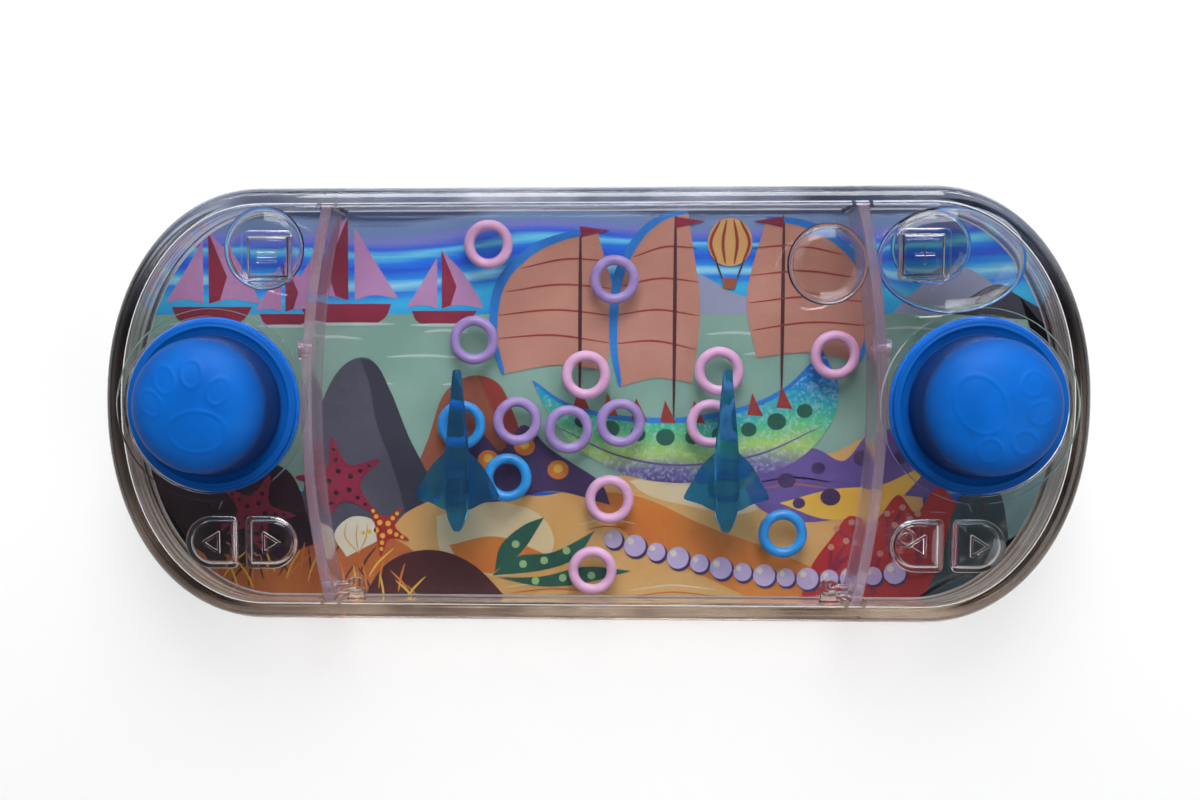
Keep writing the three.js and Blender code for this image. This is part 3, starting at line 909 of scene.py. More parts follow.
@dataclass
class Case:
    """The clear case: front tray with window, tank back, card and back cover."""

    length: float = 150.0
    height: float = 66.0
    depth: float = 18.0
    end_depth: float = 24.5
    end_power: float = 2.1
    end_steps: int = 60
    wall: float = 2.2
    window: float = 1.8
    edge_round: float = 2.0
    edge_steps: int = 8
    inner_fillet: float = 0.8
    cover_floor: float = 1.4
    cover_top: float = 2.3
    cover_round: float = 0.8
    seam: float = 2.4
    rebate_lip: float = 1.1
    ledge: float = 4.1
    tank_floor: float = 4.0
    card_inset: float = 2.4
    card_bottom: float = 1.5
    card_top: float = 2.0
    gap: float = 0.1
    support: float = 0.06
    skin_share: float = 0.985
    wall_share: float = 0.9
    relief_rise: float = 0.9
    relief_round: float = 0.35
    relief_wall: float = 0.62
    relief_roof: float = 1.1
    pocket_taper: float = 0.15
    pocket_round: float = 0.5
    overrun: float = 0.5
    dome_rise: float = 0.4
    dome_reach: float = 3.35
    square_side: float = 7.8
    square_place: Point = (49.4, 22.55)
    stadium_place: Point = (53.8, -21.05)
    stadium_length: float = 17.4
    stadium_height: float = 8.1
    stadium_slot: float = 1.2
    corner: float = 0.9
    pump_hole: float = 12.6
    plug_hole: float = 2.3
    plug_recess: float = 0.95
    plug_recess_radius: float = 4.1
    rib_gap: float = 0.2
    rib_width: float = 0.6
    rib_height: float = 1.0

    def outline(self, inset: float) -> list[Point]:
        """Outline of the case moved inwards, anticlockwise from above.

        Args:
            inset: Distance from the outer face in millimetres.

        Returns:
            The points in millimetres.
        """
        half_straight = self.length / 2 - self.end_depth
        half_height = self.height / 2 - inset
        reach = self.end_depth - inset
        points = []
        for side in (1, -1):
            for index in range(self.end_steps + 1):
                angle = math.pi * (index / self.end_steps - side / 2)
                across, up = math.cos(angle), math.sin(angle)
                x = math.copysign(abs(across) ** (2 / self.end_power), across)
                y = math.copysign(abs(up) ** (2 / self.end_power), up)
                points.append((side * half_straight + reach * x, half_height * y))
        return points

    def level(self, inset: float, z: float) -> Loop:
        """One level loop of the case outline."""
        return at_height(self.outline(inset), z)

    def rounding(self, start: float, end: float, radius: float, inset: float = 0) -> list[Loop]:
        """Loops over a rounded edge that starts upright and ends flat.

        Args:
            start: Height at which the edge starts to turn.
            end: Height at which it is flat.
            radius: Radius of the edge.
            inset: Inset of the upright face.

        Returns:
            The loops in metres.
        """
        loops = []
        for index in range(self.edge_steps + 1):
            angle = math.pi / 2 * index / self.edge_steps
            z = start + (end - start) * math.sin(angle)
            loops.append(self.level(inset + radius * (1 - math.cos(angle)), z))
        return loops

    def square(self, inset: float) -> list[Point]:
        """Rounded square of a dummy button, moved inwards.

        Args:
            inset: How far it is moved.

        Returns:
            The points in millimetres.
        """
        half = self.square_side / 2 - inset
        radius = max(self.corner - inset, 0.15)
        points = []
        for turn in range(4):
            start = 90 * turn
            x = half - radius
            corner = arc((x, x), radius, 0, 90, 5)
            angle = math.radians(start)
            points += [
                (px * math.cos(angle) - py * math.sin(angle), px * math.sin(angle) + py * math.cos(angle))
                for px, py in corner
            ]
        return points

    def half_stadium(self, inset: float) -> list[Point]:
        """Right half of a split stadium, moved inwards.

        Args:
            inset: How far it is moved.

        Returns:
            The points in millimetres.
        """
        radius = self.stadium_height / 2 - inset
        corner = max(self.corner - inset, 0.15)
        left = self.stadium_slot / 2 + inset
        middle = self.stadium_length / 2 - self.stadium_height / 2
        points = arc((middle, 0), radius, -90, 90, 24)
        points += arc((left + corner, radius - corner), corner, 90, 180, 5)
        points += arc((left + corner, corner - radius), corner, 180, 270, 5)
        return points

    def buttons(self) -> list[Button]:
        """Every dummy button.

        Returns:
            The square and the two D-shaped ones of each side.
        """
        found = []
        for name, side in SIDES:
            x, y = self.square_place
            found.append(Button(f"square_{name}", self.square, (side * x, y)))
            x, y = self.stadium_place
            found.append(Button(f"inner_arrow_{name}", self.half_stadium, (side * x, y), -side))
            found.append(Button(f"outer_arrow_{name}", self.half_stadium, (side * x, y), side))
        return found

    def drill(self, piece: Piece, radius: float, ends: Point, x: float, steps: int = 48) -> None:
        """Cuts a round hole along Z between two heights, at a distance from the middle."""
        cut(piece, loft("hole", turned_loops([(radius, z) for z in ends], (x, 0), steps)))

    def raised(self, button: Button) -> Piece:
        """Raised body of a dummy button, with its foot in the window: the D-shaped ones are domed.

        Args:
            button: The button.

        Returns:
            The body, to be joined to the tray.
        """
        loops = [button.loop(0, self.depth - self.window / 2)]
        domed = button.outline == self.half_stadium
        top = self.depth + self.relief_rise - domed * self.dome_rise
        for index in range(5):
            angle = math.pi / 2 * index / 4
            z = top - self.relief_round * (1 - math.sin(angle))
            loops.append(button.loop(self.relief_round * (1 - math.cos(angle)), z))
        steps = 6 if domed else 1
        end = self.dome_reach if domed else self.relief_round + self.support
        for index in range(1, steps + 1):
            share = index / steps
            z = top + domed * self.dome_rise * (1 - (1 - share) ** 2)
            loops.append(button.loop(self.relief_round + (end - self.relief_round) * share, z))
        return loft(button.name, loops)

    def pocket(self, button: Button) -> Piece:
        """Hollow behind a dummy button, which leaves an even wall round it.

        Args:
            button: The button.

        Returns:
            The tool that cuts the hollow.
        """
        top = self.depth + self.relief_rise - self.relief_roof
        loops = [button.loop(self.relief_wall, self.depth - self.window - self.overrun)]
        for index in range(5):
            angle = math.pi / 2 * index / 4
            inset = self.relief_wall + self.pocket_taper + self.pocket_round * (1 - math.cos(angle))
            loops.append(button.loop(inset, top - self.pocket_round * (1 - math.sin(angle))))
        return loft(button.name, loops)

    def front(self, pump_x: float) -> Piece:
        """Front tray: window, wall, dummy buttons and pump holes in one moulding.

        Args:
            pump_x: Distance of the pumps from the middle in millimetres.

        Returns:
            The piece.
        """
        under = self.depth - self.window
        flat = self.edge_round + self.support
        inner_flat = self.wall + self.inner_fillet + self.support
        fillet = self.rounding(under - self.inner_fillet, under, self.inner_fillet, self.wall)
        loops = [
            self.level(flat, self.depth),
            *reversed(self.rounding(self.depth - self.edge_round, self.depth, self.edge_round)),
            self.level(0, self.seam + 0.3),
            self.level(0.15, self.seam),
            self.level(self.rebate_lip, self.seam),
            self.level(self.rebate_lip, self.ledge),
            self.level(self.wall, self.ledge),
            *fillet,
            self.level(inner_flat, under),
        ]
        shell = loft("clear_front", loops)
        for button in self.buttons():
            cut(shell, self.raised(button), "UNION")
        for strip in Marks(self).strips():
            cut(shell, strip, "UNION")
        for button in self.buttons():
            cut(shell, self.pocket(button))
        for _, side in SIDES:
            ends = (under - self.overrun, self.depth + self.overrun)
            self.drill(shell, self.pump_hole, ends, side * pump_x, 96)
        for points in self.guide_ribs():
            loops = [at_height(points, self.ledge), at_height(points, under + 0.3)]
            cut(shell, loft("rib", loops), "UNION")
        smooth(shell, 40)
        return shell

    def guide_ribs(self) -> list[list[Point]]:
        """Outlines of the small ribs that hold the ends of the partitions, one each side of each end.

        Returns:
            The outlines in millimetres.
        """
        outlines = []
        near, far = self.height / 2 - self.wall / 2, self.height / 2 - self.wall - self.rib_height
        for name, side in SIDES:
            wall = Partition(name, side)
            off_wall = wall.thickness / 2 + self.rib_gap
            for start in (off_wall, -off_wall - self.rib_width):
                for up in (-1, 1):
                    end = start + self.rib_width
                    corners = ((start, far), (end, far), (end, near), (start, near))
                    outlines.append([(side * (wall.middle_x(y) + off), up * y) for off, y in corners])
        return outlines

    def back_plate(self, pump_x: float) -> Piece:
        """Clear plate that closes the water space.

        Args:
            pump_x: Distance of the pumps from the middle in millimetres.

        Returns:
            The piece.
        """
        inset = self.rebate_lip + self.gap
        plate = loft("clear_tank_back", [self.level(inset, self.seam), self.level(inset, self.tank_floor)])
        ends = (self.seam - self.overrun, self.tank_floor + self.overrun)
        self.drill(plate, self.plug_hole, ends, pump_x)
        smooth(plate)
        return plate

    def cover(self, pump_x: float) -> Piece:
        """Shallow clear tray that closes the back and carries the card.

        Args:
            pump_x: Distance of the pumps from the middle in millimetres.

        Returns:
            The piece.
        """
        bottom = [self.level(self.cover_round + self.support, 0)]
        bottom += reversed(self.rounding(self.cover_round, 0, self.cover_round))
        loops = [
            *bottom,
            self.level(0, self.cover_top - 0.15),
            self.level(0.15, self.cover_top),
            self.level(self.wall - 0.1, self.cover_top),
            self.level(self.wall, self.cover_top - 0.1),
            self.level(self.wall, self.cover_floor),
        ]
        cover = loft("clear_back_cover", loops)
        self.drill(cover, self.plug_recess_radius, (-self.overrun, self.plug_recess), pump_x, 64)
        self.drill(cover, self.plug_hole, (-self.overrun, self.cover_top), pump_x)
        smooth(cover)
        return cover

    def card(self, pump_x: float) -> Piece:
        """The card itself, which the print covers.

        Args:
            pump_x: Distance of the pumps from the middle in millimetres.

        Returns:
            The piece.
        """
        card = loft("print_card_board", [
            self.level(self.card_inset, self.card_bottom),
            self.level(self.card_inset, self.card_top),
        ])
        ends = (self.card_bottom - self.overrun, self.card_top + self.overrun)
        self.drill(card, self.plug_hole, ends, pump_x)
        return card

    def build(self, shop: Workshop, pump_x: float) -> None:
        """Builds and dresses the pieces of the case.

        Args:
            shop: The materials.
            pump_x: Distance of the pumps from the middle in millimetres.
        """
        pieces = (
            (self.front(pump_x), "front_shell"),
            (self.back_plate(pump_x), "tank_back"),
            (self.cover(pump_x), "back_cover"),
        )
        for piece, node in pieces:
            dress(piece, shop.clear)
            self.paint_wall_reflection(piece, shop.wall)
            finish_piece(piece, "case", "clear_plastic", node)

    def paint_wall_reflection(self, shell: Piece, material: Material) -> None:
        """Gives the inner side and the seam of the case wall a second material, with painted reflection and
        painted shade, as plastic seen through its depth.

        Args:
            shell: A piece of the case.
            material: Material of the wall with painted reflection and painted shade.
        """
        shell.data.materials.append(material)
        half_straight = self.length / 2 - self.end_depth
        for polygon in shell.data.polygons:
            x, y, z = polygon.center / MM
            share = max(abs(x) - half_straight, 0) / self.end_depth
            up = abs(y) / (self.height / 2)
            edge = (share**self.end_power + up**self.end_power) ** (1 / self.end_power)
            inside = edge < self.skin_share or self.cover_round + 0.6 < z < self.seam + 0.2
            if inside and edge > self.wall_share and 0.1 < z < self.depth - self.window - 0.05:
                polygon.material_index = 1


def finish_piece(piece: Piece, body: str | None, slot: str, *nodes: str) -> None:
    """Settles a finished piece, hangs it on the body it moves with and hides the CAD nodes that it stands
    for.

    Args:
        piece: The finished piece.
        body: CAD body that it rides on, or None to leave it unattached.
        slot: Not used.
        nodes: CAD nodes that it replaces.
    """
    settle(piece)
    if body:
        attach(piece, body)
    if nodes:
        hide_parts(*nodes)
    log.info("%s: %d faces", piece.name, len(piece.data.polygons))


# Pumps


@dataclass
class Pump:
    """One pump: a soft cap with an embossed pad print, under a clear collar."""

    name: str
    side: int
    x: float
    steps: int = 224
    hole: float = 12.5
    web: float = 17.1
    window_top: float = 18.1
    flange: float = 13.4
    flange_top: float = 18.9
    lip: float = 12.9
    lip_top: float = 19.9
    bead: float = 12.0
    foot: float = 10.6
    crown: float = 10.0
    crown_base: float = 28.6
    top: float = 32.88
    wall: float = 1.2
    crown_power: float = 2.2
    flange_unshaded_share: float = 0.7
    crown_steps: int = 60
    ridge_rise: float = 0.1
    ridge_width: float = 0.3
    pad_share: float = 0.18
    print_start: float = 1.8
    print_fade: float = 0.8
    collar_inner: float = 13.15
    collar_outer: float = 14.7
    collar_top: float = 19.5
    tab_rise: float = 0.7
    tab_length: float = 1.3
    tab_half: float = 1.5

    def pads(self) -> list[tuple[float, float, float, float, float]]:
        """Embossed ovals: middle, half sizes and turn in degrees, in millimetres from the axis.

        Returns:
            One large pad and four small ones.
        """
        if self.side < 0:
            return [
                (0.5, -3.7, 4.3, 3.0, 0), (-6.4, 0.4, 1.5, 2.0, 35), (-4.3, 3.9, 1.5, 2.0, 15),
                (-0.2, 4.7, 1.5, 2.0, 0), (3.7, 2.2, 1.5, 2.0, -25),
            ]
        return [
            (-2.6, 0.4, 4.4, 3.4, -60), (4.8, 3.4, 1.6, 1.8, -40), (6.1, -0.8, 1.6, 1.8, -70),
            (3.9, -5.0, 1.6, 1.8, -100), (-1.0, -6.2, 1.6, 1.8, -130),
        ]

    def emboss(self, x: float, y: float) -> float:
        """Height of the embossed lines at a place on the crown, in millimetres.

        Args:
            x: Distance from the axis to the right.
            y: Distance from the axis upwards.

        Returns:
            The height.
        """
        rise = 0.0
        for px, py, half_x, half_y, lean in self.pads():
            swing = math.radians(lean)
            dx, dy = x - px, y - py
            across = dx * math.cos(swing) + dy * math.sin(swing)
            along = dy * math.cos(swing) - dx * math.sin(swing)
            reach = math.hypot(across / half_x, along / half_y)
            off = (reach - 1) * min(half_x, half_y)
            rise = max(rise, math.exp(-((off / self.ridge_width) ** 2)))
            if reach < 1:
                rise = max(rise, self.pad_share)
        return rise * self.ridge_rise

    def crown_profile(self, radius: float, height: float, base: float, steps: int) -> list[Point]:
        """Radius and height along a flattened dome, from its rim to near the axis.

        Args:
            radius: Radius of the rim.
            height: Rise from the rim to the top.
            base: Height of the rim.
            steps: Number of points.

        Returns:
            The points in millimetres.
        """
        points = []
        for index in range(steps):
            angle = math.pi / 2 * index / steps
            across = math.cos(angle) ** (2 / self.crown_power)
            points.append((radius * across, base + height * math.sin(angle)))
        return points

    def outside(self) -> list[Point]:
        """Profile of the cap's outside, from the web to near the axis.

        Returns:
            The points in millimetres.
        """
        points = [
            (self.hole, self.web), (self.hole, self.window_top), (self.flange - 0.05, self.window_top),
            (self.flange, self.window_top + 0.1), (self.flange, self.flange_top - 0.15),
            (self.flange - 0.15, self.flange_top), (self.lip + 0.05, self.flange_top),
            (self.lip, self.flange_top + 0.1),
        ]
        points += arc((self.lip - 0.35, self.lip_top - 0.4), 0.35, 0, 90, 5)
        points += [
            (self.bead + 0.26, self.lip_top - 0.08), (self.bead + 0.14, self.lip_top),
            (self.bead, self.lip_top + 0.05), (self.bead - 0.14, self.lip_top),
            (self.bead - 0.3, self.lip_top - 0.16), (self.bead - 0.7, self.lip_top - 0.28),
            (self.foot + 0.4, self.lip_top - 0.4), (self.foot + 0.18, self.lip_top - 0.45),
            (self.foot + 0.06, self.lip_top - 0.4), (self.foot, self.lip_top - 0.2),
        ]
        rise = self.crown_base - self.lip_top
        for share in (0.1, 0.25, 0.4, 0.55, 0.7, 0.85, 0.95):
            points.append((self.foot + (self.crown - self.foot) * share, self.lip_top + rise * share))
        return points + self.crown_profile(
            self.crown, self.top - self.crown_base, self.crown_base, self.crown_steps
        )

    def inside(self) -> list[Point]:
        """Profile of the cap's inside, from the web to near the axis.

        Returns:
            The points in millimetres.
        """
        radius = self.crown - self.wall - 0.2
        points = [
            (self.foot - self.wall, self.web), (self.foot - self.wall, self.web + 2),
            (self.foot - self.wall - 0.2, self.web + 6), (self.foot - self.wall - 0.5, self.web + 11),
        ]
        return points + self.crown_profile(radius, 2.2, self.crown_base, 10)

    def cap(self) -> Piece:
        """Soft cap: flange, lip, thin wall and crown in one skin.

        Returns:
            The piece.
        """
        profile = list(reversed(self.inside())) + self.outside()
        loops = turned_loops(profile, (self.x, 0), self.steps)
        cap = loft(f"pump_cap_{self.name}", loops)
        # The body attribute is the mask of painted shade: 1 keeps the cap's own blue, 0 takes the dark navy.
        body = cap.data.attributes.new("body", "FLOAT", "POINT")
        for vertex in cap.data.vertices:
            x, y, z = vertex.co / MM
            above = z - self.crown_base - self.print_start
            if above > 0:
                vertex.co.z += min(above / self.print_fade, 1) * self.emboss(x - self.x, y) * MM
            body.data[vertex.index].value = self.unshaded_share(math.hypot(x - self.x, y), z)
        smooth(cap, 60)
        return cap

    def unshaded_share(self, radius: float, z: float) -> float:
        """Share of the cap's own colour against its painted shade at a place: 1 on the crown, less on the
        flange and lip, 0 in the groove and the wall.

        Args:
            radius: Distance from the axis in millimetres.
            z: Height in millimetres.

        Returns:
            A share from 0 to 1.
        """
        if z > self.lip_top + 0.6:
            return min(max((z - self.crown_base + 0.6) / (self.top - self.crown_base - 0.4), 0), 1)
        return self.flange_unshaded_share * min(max((radius - self.foot) / 0.5, 0), 1)

    def collar(self) -> Piece:
        """Clear ring over the flange, with a small tab at its foot.

        Returns:
            The piece.
        """
        top, lip_under = self.collar_top, self.collar_top - 0.4
        inner = self.flange + 0.2
        profile = [
            (inner, self.window_top), (self.collar_outer, self.window_top),
            (self.collar_outer, top - 0.1), (self.collar_outer - 0.1, top),
            (self.collar_inner + 0.08, top), (self.collar_inner, top - 0.08),
            (self.collar_inner, lip_under), (inner, lip_under),
        ]
        collar = loft(f"clear_collar_{self.name}", turned_loops(profile, (self.x, 0), 128), ring=True)
        start, end = -self.flange - 0.5, -self.collar_outer - self.tab_length
        tab = [
            (-self.tab_half, start), (-self.tab_half * 0.5, end + 0.15), (-self.tab_half * 0.35, end),
            (self.tab_half * 0.35, end), (self.tab_half * 0.5, end + 0.15), (self.tab_half, start),
        ]
        ends = (self.window_top, self.window_top + self.tab_rise)
        loops = [at_height(tab, z, (self.x, 0)) for z in ends]
        cut(collar, loft("tab", loops), "UNION")
        smooth(collar, 35)
        return collar

    def build(self, shop: Workshop) -> None:
        """Builds and dresses the cap and its collar.

        Args:
            shop: The materials.
        """
        cap = self.cap()
        dress(cap, shop.silicone)
        settle(cap)
        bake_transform(cap)
        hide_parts(*(f"pump_{part}_{self.name}" for part in ("flange", "wall", "crown")))
        log.info("%s: %d faces", cap.name, len(cap.data.polygons))
        collar = self.collar()
        dress(collar, shop.wet)
        finish_piece(collar, "case", "clear_plastic", f"pump_collar_{self.name}")


# Tank


@dataclass
class Partition:
    """Milky bowed wall between the tank and an end chamber, with its return port and jet nozzle."""

    name: str
    side: int
    reach: float = 43.9
    bow: float = 3.6
    half_span: float = 30.8
    thickness: float = 1.6
    half_height: float = 30.65
    bottom: float = 4.12
    top: float = 16.12
    fillet: float = 0.8
    steps: int = 48
    bevel: float = 0.2
    port_y: float = 8.6
    port_radius: float = 1.6
    port_bore: float = 0.8
    port_length: float = 1.4
    middle_z: float = 10.1
    inlet_y: float = -28.65
    inlet_hole: float = 1.1

    def middle_x(self, y: float) -> float:
        """Distance of the wall's middle line from the case's middle at a height."""
        radius = (self.half_span**2 + self.bow**2) / (2 * self.bow)
        return self.reach - radius + math.sqrt(radius**2 - y**2)

    def strip(self, inset: float, end: float) -> list[Point]:
        """Outline of the wall from above, moved inwards and ending at a height.

        Args:
            inset: How far it is moved.
            end: Its end above the middle.

        Returns:
            The points in millimetres.
        """
        half = self.thickness / 2 - inset
        ys = [end * (2 * index / self.steps - 1) for index in range(self.steps + 1)]
        outer = [(self.middle_x(y) + half, y) for y in ys]
        inner = [(self.middle_x(y) - half, y) for y in reversed(ys)]
        return [(self.side * x, y) for x, y in outer + inner]

    def bar(self, radius: float, start: float, end: float, y: float) -> Piece:
        """Closed bar along X at the middle of the tank's depth, as a tool or a boss."""
        profile = [(radius, self.side * start), (radius, self.side * end)]
        return loft("bar", turned_loops(profile, (y, self.middle_z), 32, Axis.X))

    def wall(self) -> Piece:
        """The wall with its port.

        Returns:
            The piece.
        """
        end, short = self.half_height, self.half_height - self.fillet
        loops = [
            at_height(self.strip(self.bevel, end - self.bevel), self.bottom),
            at_height(self.strip(0, end), self.bottom + self.bevel),
            at_height(self.strip(0, end), self.top - self.fillet),
            at_height(self.strip(0, short + self.bevel), self.top - self.bevel),
            at_height(self.strip(self.bevel, short), self.top),
        ]
        wall = loft(f"milky_partition_{self.name}", loops)
        x = self.middle_x(self.port_y)
        far = x + self.thickness / 2 + self.port_length
        cut(wall, self.bar(self.port_radius, x, far, self.port_y), "UNION")
        cut(wall, self.bar(self.port_bore, x - 2, far + 0.5, self.port_y))
        x = self.middle_x(self.inlet_y)
        cut(wall, self.bar(self.inlet_hole, x - 2, x + 2, self.inlet_y))
        smooth(wall, 35)
        return wall

    def build(self, shop: Workshop) -> None:
        """Builds and dresses the wall.

        Args:
            shop: The materials.
        """
        wall = self.wall()
        dress(wall, shop.milky)
        finish_piece(wall, "case", "milky_plastic", f"partition_{self.name}")


@dataclass
class Nozzle:
    """Domed jet nozzle at the foot of a partition, with its inlet through the wall."""

    wall: Partition
    foot_y: float = -30.7
    offset: float = 3.25
    radius: float = 1.3
    collar: float = 0.25
    length: float = 3.6
    bore: float = 0.5
    inlet_radius: float = 0.95
    inlet_out: float = 0.6
    inlet_edge: float = 0.15
    steps: int = 40

    def build(self, shop: Workshop) -> None:
        """Builds and dresses the nozzle.

        Args:
            shop: The materials.
        """
        side, z = self.wall.side, self.wall.middle_z
        x = side * (self.wall.middle_x(self.wall.half_span) - self.offset)
        end = side * (self.wall.middle_x(self.wall.inlet_y) + self.wall.thickness / 2 + self.inlet_out)
        dome = self.radius - self.bore
        top = self.foot_y + self.length
        profile = [
            (self.radius + self.collar, self.foot_y),
            (self.radius + self.collar, self.foot_y + self.collar),
            (self.radius + 0.04, self.foot_y + 2 * self.collar),
            *arc((self.bore, top - dome), dome, 0, 90, 10),
        ]
        nozzle = loft(f"jet_{self.wall.name}", turned_loops(profile, (x, z), self.steps, Axis.Y))
        across = (self.wall.inlet_y, z)
        edge = self.inlet_edge
        inlet = [
            (self.inlet_radius, x), (self.inlet_radius, end - side * edge),
            (self.inlet_radius - edge, end),
        ]
        cut(nozzle, loft("inlet", turned_loops(inlet, across, self.steps, Axis.X)), "UNION")
        bore = [(self.bore, self.wall.inlet_y), (self.bore, top + 0.5)]
        cut(nozzle, loft("bore", turned_loops(bore, (x, z), 24, Axis.Y)))
        bore = [(self.bore, x), (self.bore, end + side * 0.5)]
        cut(nozzle, loft("bore", turned_loops(bore, across, 24, Axis.X)))
        smooth(nozzle, 40)
        dress(nozzle, shop.wet)
        finish_piece(nozzle, "case", "clear_plastic", f"jet_nozzle_{self.wall.name}")


@dataclass
class Figure:
    """Winged figure with a long spike, on a post that stands on the back of the tank."""

    name: str
    tip_y: float = 5.6
    length: float = 25.6
    half_width: float = 1.95
    half_thickness: float = 1.7
    wing: float = 1.0
    wing_middle: float = -17.5
    post_share: float = 0.72
    post_radius: float = 1.4
    foot_radius: float = 2.4
    foot_rise: float = 0.8
    foot_edge: float = 0.2
    floor: float = 4.1
    middle_z: float = 10.1
    steps: int = 48
    shares: tuple[Triple, ...] = (
        (0.002, 0.16, 0.18), (0.012, 0.32, 0.36), (0.05, 0.4, 0.44), (0.23, 0.63, 0.62), (0.48, 0.93, 0.8),
        (0.66, 1.0, 1.0), (0.82, 0.99, 0.97), (0.9, 0.8, 0.8), (0.95, 0.56, 0.6), (0.982, 0.33, 0.38),
        (0.998, 0.14, 0.18),
    )

    def section(self, width: float, thickness: float, y: float, x: float) -> Loop:
        """Oval section with two fine ridges on its front and on its back.

        Args:
            width: Share of the half width.
            thickness: Share of the half thickness.
            y: Height in the picture.
            x: Middle of the figure.

        Returns:
            The loop in metres.
        """
        loop = []
        for index in range(self.steps):
            angle = 2 * math.pi * index / self.steps
            ridge = math.exp(-(((abs(math.cos(angle)) - 0.34) / 0.09) ** 2)) * 0.07
            px = width * self.half_width * math.cos(angle) * (1 + ridge)
            pz = thickness * self.half_thickness * math.sin(angle) * (1 + ridge)
            loop.append(Vector((x + px, y, self.middle_z + pz)) * MM)
        return loop

    def wings(self, x: float) -> Piece:
        """Both swept wings in one plate with rounded edges.

        Args:
            x: Middle of the figure.

        Returns:
            The plate, to be joined to the figure.
        """
        right = [
            (0, -12.0, 1), (1.9, -13.0), (3.9, -15.0), (5.4, -17.5), (6.5, -19.5), (6.45, -20.2),
            (5.2, -20.6), (3.7, -21.1), (2.2, -21.9), (0, -22.4, 1),
        ]
        left = [(-px, py, *rest) for px, py, *rest in right[-2:0:-1]]
        outline = spread(right + left, stretch=0.5)
        loops = []
        for inset, lift in ((0.045, -1), (0.012, -0.75), (0, -0.4), (0, 0.4), (0.012, 0.75), (0.045, 1)):
            points = [(px * (1 - inset), (py - self.wing_middle) * (1 - inset)) for px, py in outline]
            middle = (x, self.tip_y + self.wing_middle)
            loops.append(at_height(points, self.middle_z + lift * self.wing / 2, middle))
        return loft("wings", loops)

    def build(self, shop: Workshop) -> None:
        """Builds and dresses the figure.

        Args:
            shop: The materials.
        """
        x = box_middle(f"peg_{self.name}").x
        places = spread([(share, width) for share, width, _ in self.shares], closed=False, stretch=0.04)
        depths = spread([(share, depth) for share, _, depth in self.shares], closed=False, stretch=0.04)
        loops = [
            self.section(width, depth, self.tip_y - share * self.length, x)
            for (share, width), (_, depth) in zip(places, depths)
        ]
        figure = loft(f"spike_figure_{self.name}", loops)
        cut(figure, self.wings(x), "UNION")
        y = self.tip_y - self.post_share * self.length
        top, edge = self.floor + self.foot_rise, self.foot_edge
        post = [
            (self.foot_radius, self.floor), (self.foot_radius, top - edge), (self.foot_radius - edge, top),
            (self.post_radius, top), (self.post_radius, self.middle_z),
        ]
        cut(figure, loft("post", turned_loops(post, (x, y), self.steps)), "UNION")
        smooth(figure, 50)
        dress(figure, shop.figure)
        finish_piece(figure, "case", "peg_plastic", f"peg_{self.name}")


@dataclass
class Plug:
    """Soft plug of the filling hole: flat head, stem and bulb."""

    head: float = 4.0
    base: float = 0.1
    head_top: float = 0.85
    stem: float = 2.2
    bulb_z: float = 4.1
    bulb: float = 2.6
    nose: float = 1.5
    nose_z: float = 5.1

    def build(self, shop: Workshop, x: float) -> None:
        """Builds and dresses the plug.

        Args:
            shop: The materials.
            x: Middle of the hole in millimetres.
        """
        profile = [
            (self.head - 1.4, self.base + 0.18), (self.head - 1.2, self.base),
            (self.head - 0.15, self.base), (self.head, self.base + 0.15),
            (self.head, self.head_top - 0.1), (self.head - 0.1, self.head_top),
            (self.stem, self.head_top), (self.stem, self.bulb_z), (self.bulb - 0.1, self.bulb_z),
            (self.bulb, self.bulb_z + 0.15), (self.nose + 0.2, self.nose_z - 0.1),
            (self.nose, self.nose_z),
        ]
        plug = loft("soft_fill_plug", turned_loops(profile, (x, 0), 64))
        smooth(plug, 40)
        dress(plug, shop.plug)
        finish_piece(plug, "case", "plug_plastic", "fill_plug")


@dataclass
class Bubbles:
    """Flat air bubbles that cling under the window, as thin clear skins.

    A place is a name, the middle, the three half sizes and how far the middle lies under the window.
    """

    top: float = 16.1
    skin: float = 0.55
    steps: int = 72
    places: tuple[tuple[str, float, float, float, float, float, float], ...] = (
        ("square_left", -50.4, 24.0, 6.2, 6.4, 1.5, 1.5), ("free", 35.5, 21.4, 6.1, 6.2, 1.5, 1.5),
        ("oval_right", 54.0, 22.0, 11.2, 8.1, 1.6, 1.6), ("square_right", 50.9, 23.9, 6.0, 5.7, 0.9, 1.6),
        ("arrow_right", 48.2, -20.2, 1.5, 1.4, 0.7, 0.7),
    )

    def skin_loops(self, x: float, y: float, half: Triple, middle_z: float) -> list[Loop]:
        """Loops of a flattened egg from its lowest to its highest point.

        Args:
            x: Middle, to the right.
            y: Middle, upwards.
            half: The three half sizes.
            middle_z: Height of the middle.

        Returns:
            The loops in metres.
        """
        loops = []
        for level in range(1, 24):
            angle = math.pi * level / 24
            across = math.sin(angle) ** 0.8
            loop = []
            for index in range(self.steps):
                turn = 2 * math.pi * index / self.steps
                px = x + half[0] * across * math.cos(turn)
                py = y + half[1] * across * math.sin(turn)
                loop.append(Vector((px, py, middle_z - half[2] * math.cos(angle))) * MM)
            loops.append(loop)
        return loops

    def build(self, shop: Workshop) -> None:
        """Builds and dresses every bubble.

        Args:
            shop: The materials.
        """
        for name, x, y, half_x, half_y, half_z, under in self.places:
            middle = self.top - under
            outer = loft(f"bubble_{name}", self.skin_loops(x, y, (half_x, half_y, half_z), middle))
            half = (half_x - self.skin, half_y - self.skin, half_z - self.skin * 0.5)
            inner = loft("hollow", self.skin_loops(x, y, half, middle))
            inner.data.flip_normals()
            bubble = join([outer, inner], f"bubble_{name}")
            smooth(bubble, 80)
            dress(bubble, shop.bubble)
            finish_piece(bubble, "case", "clear_plastic")


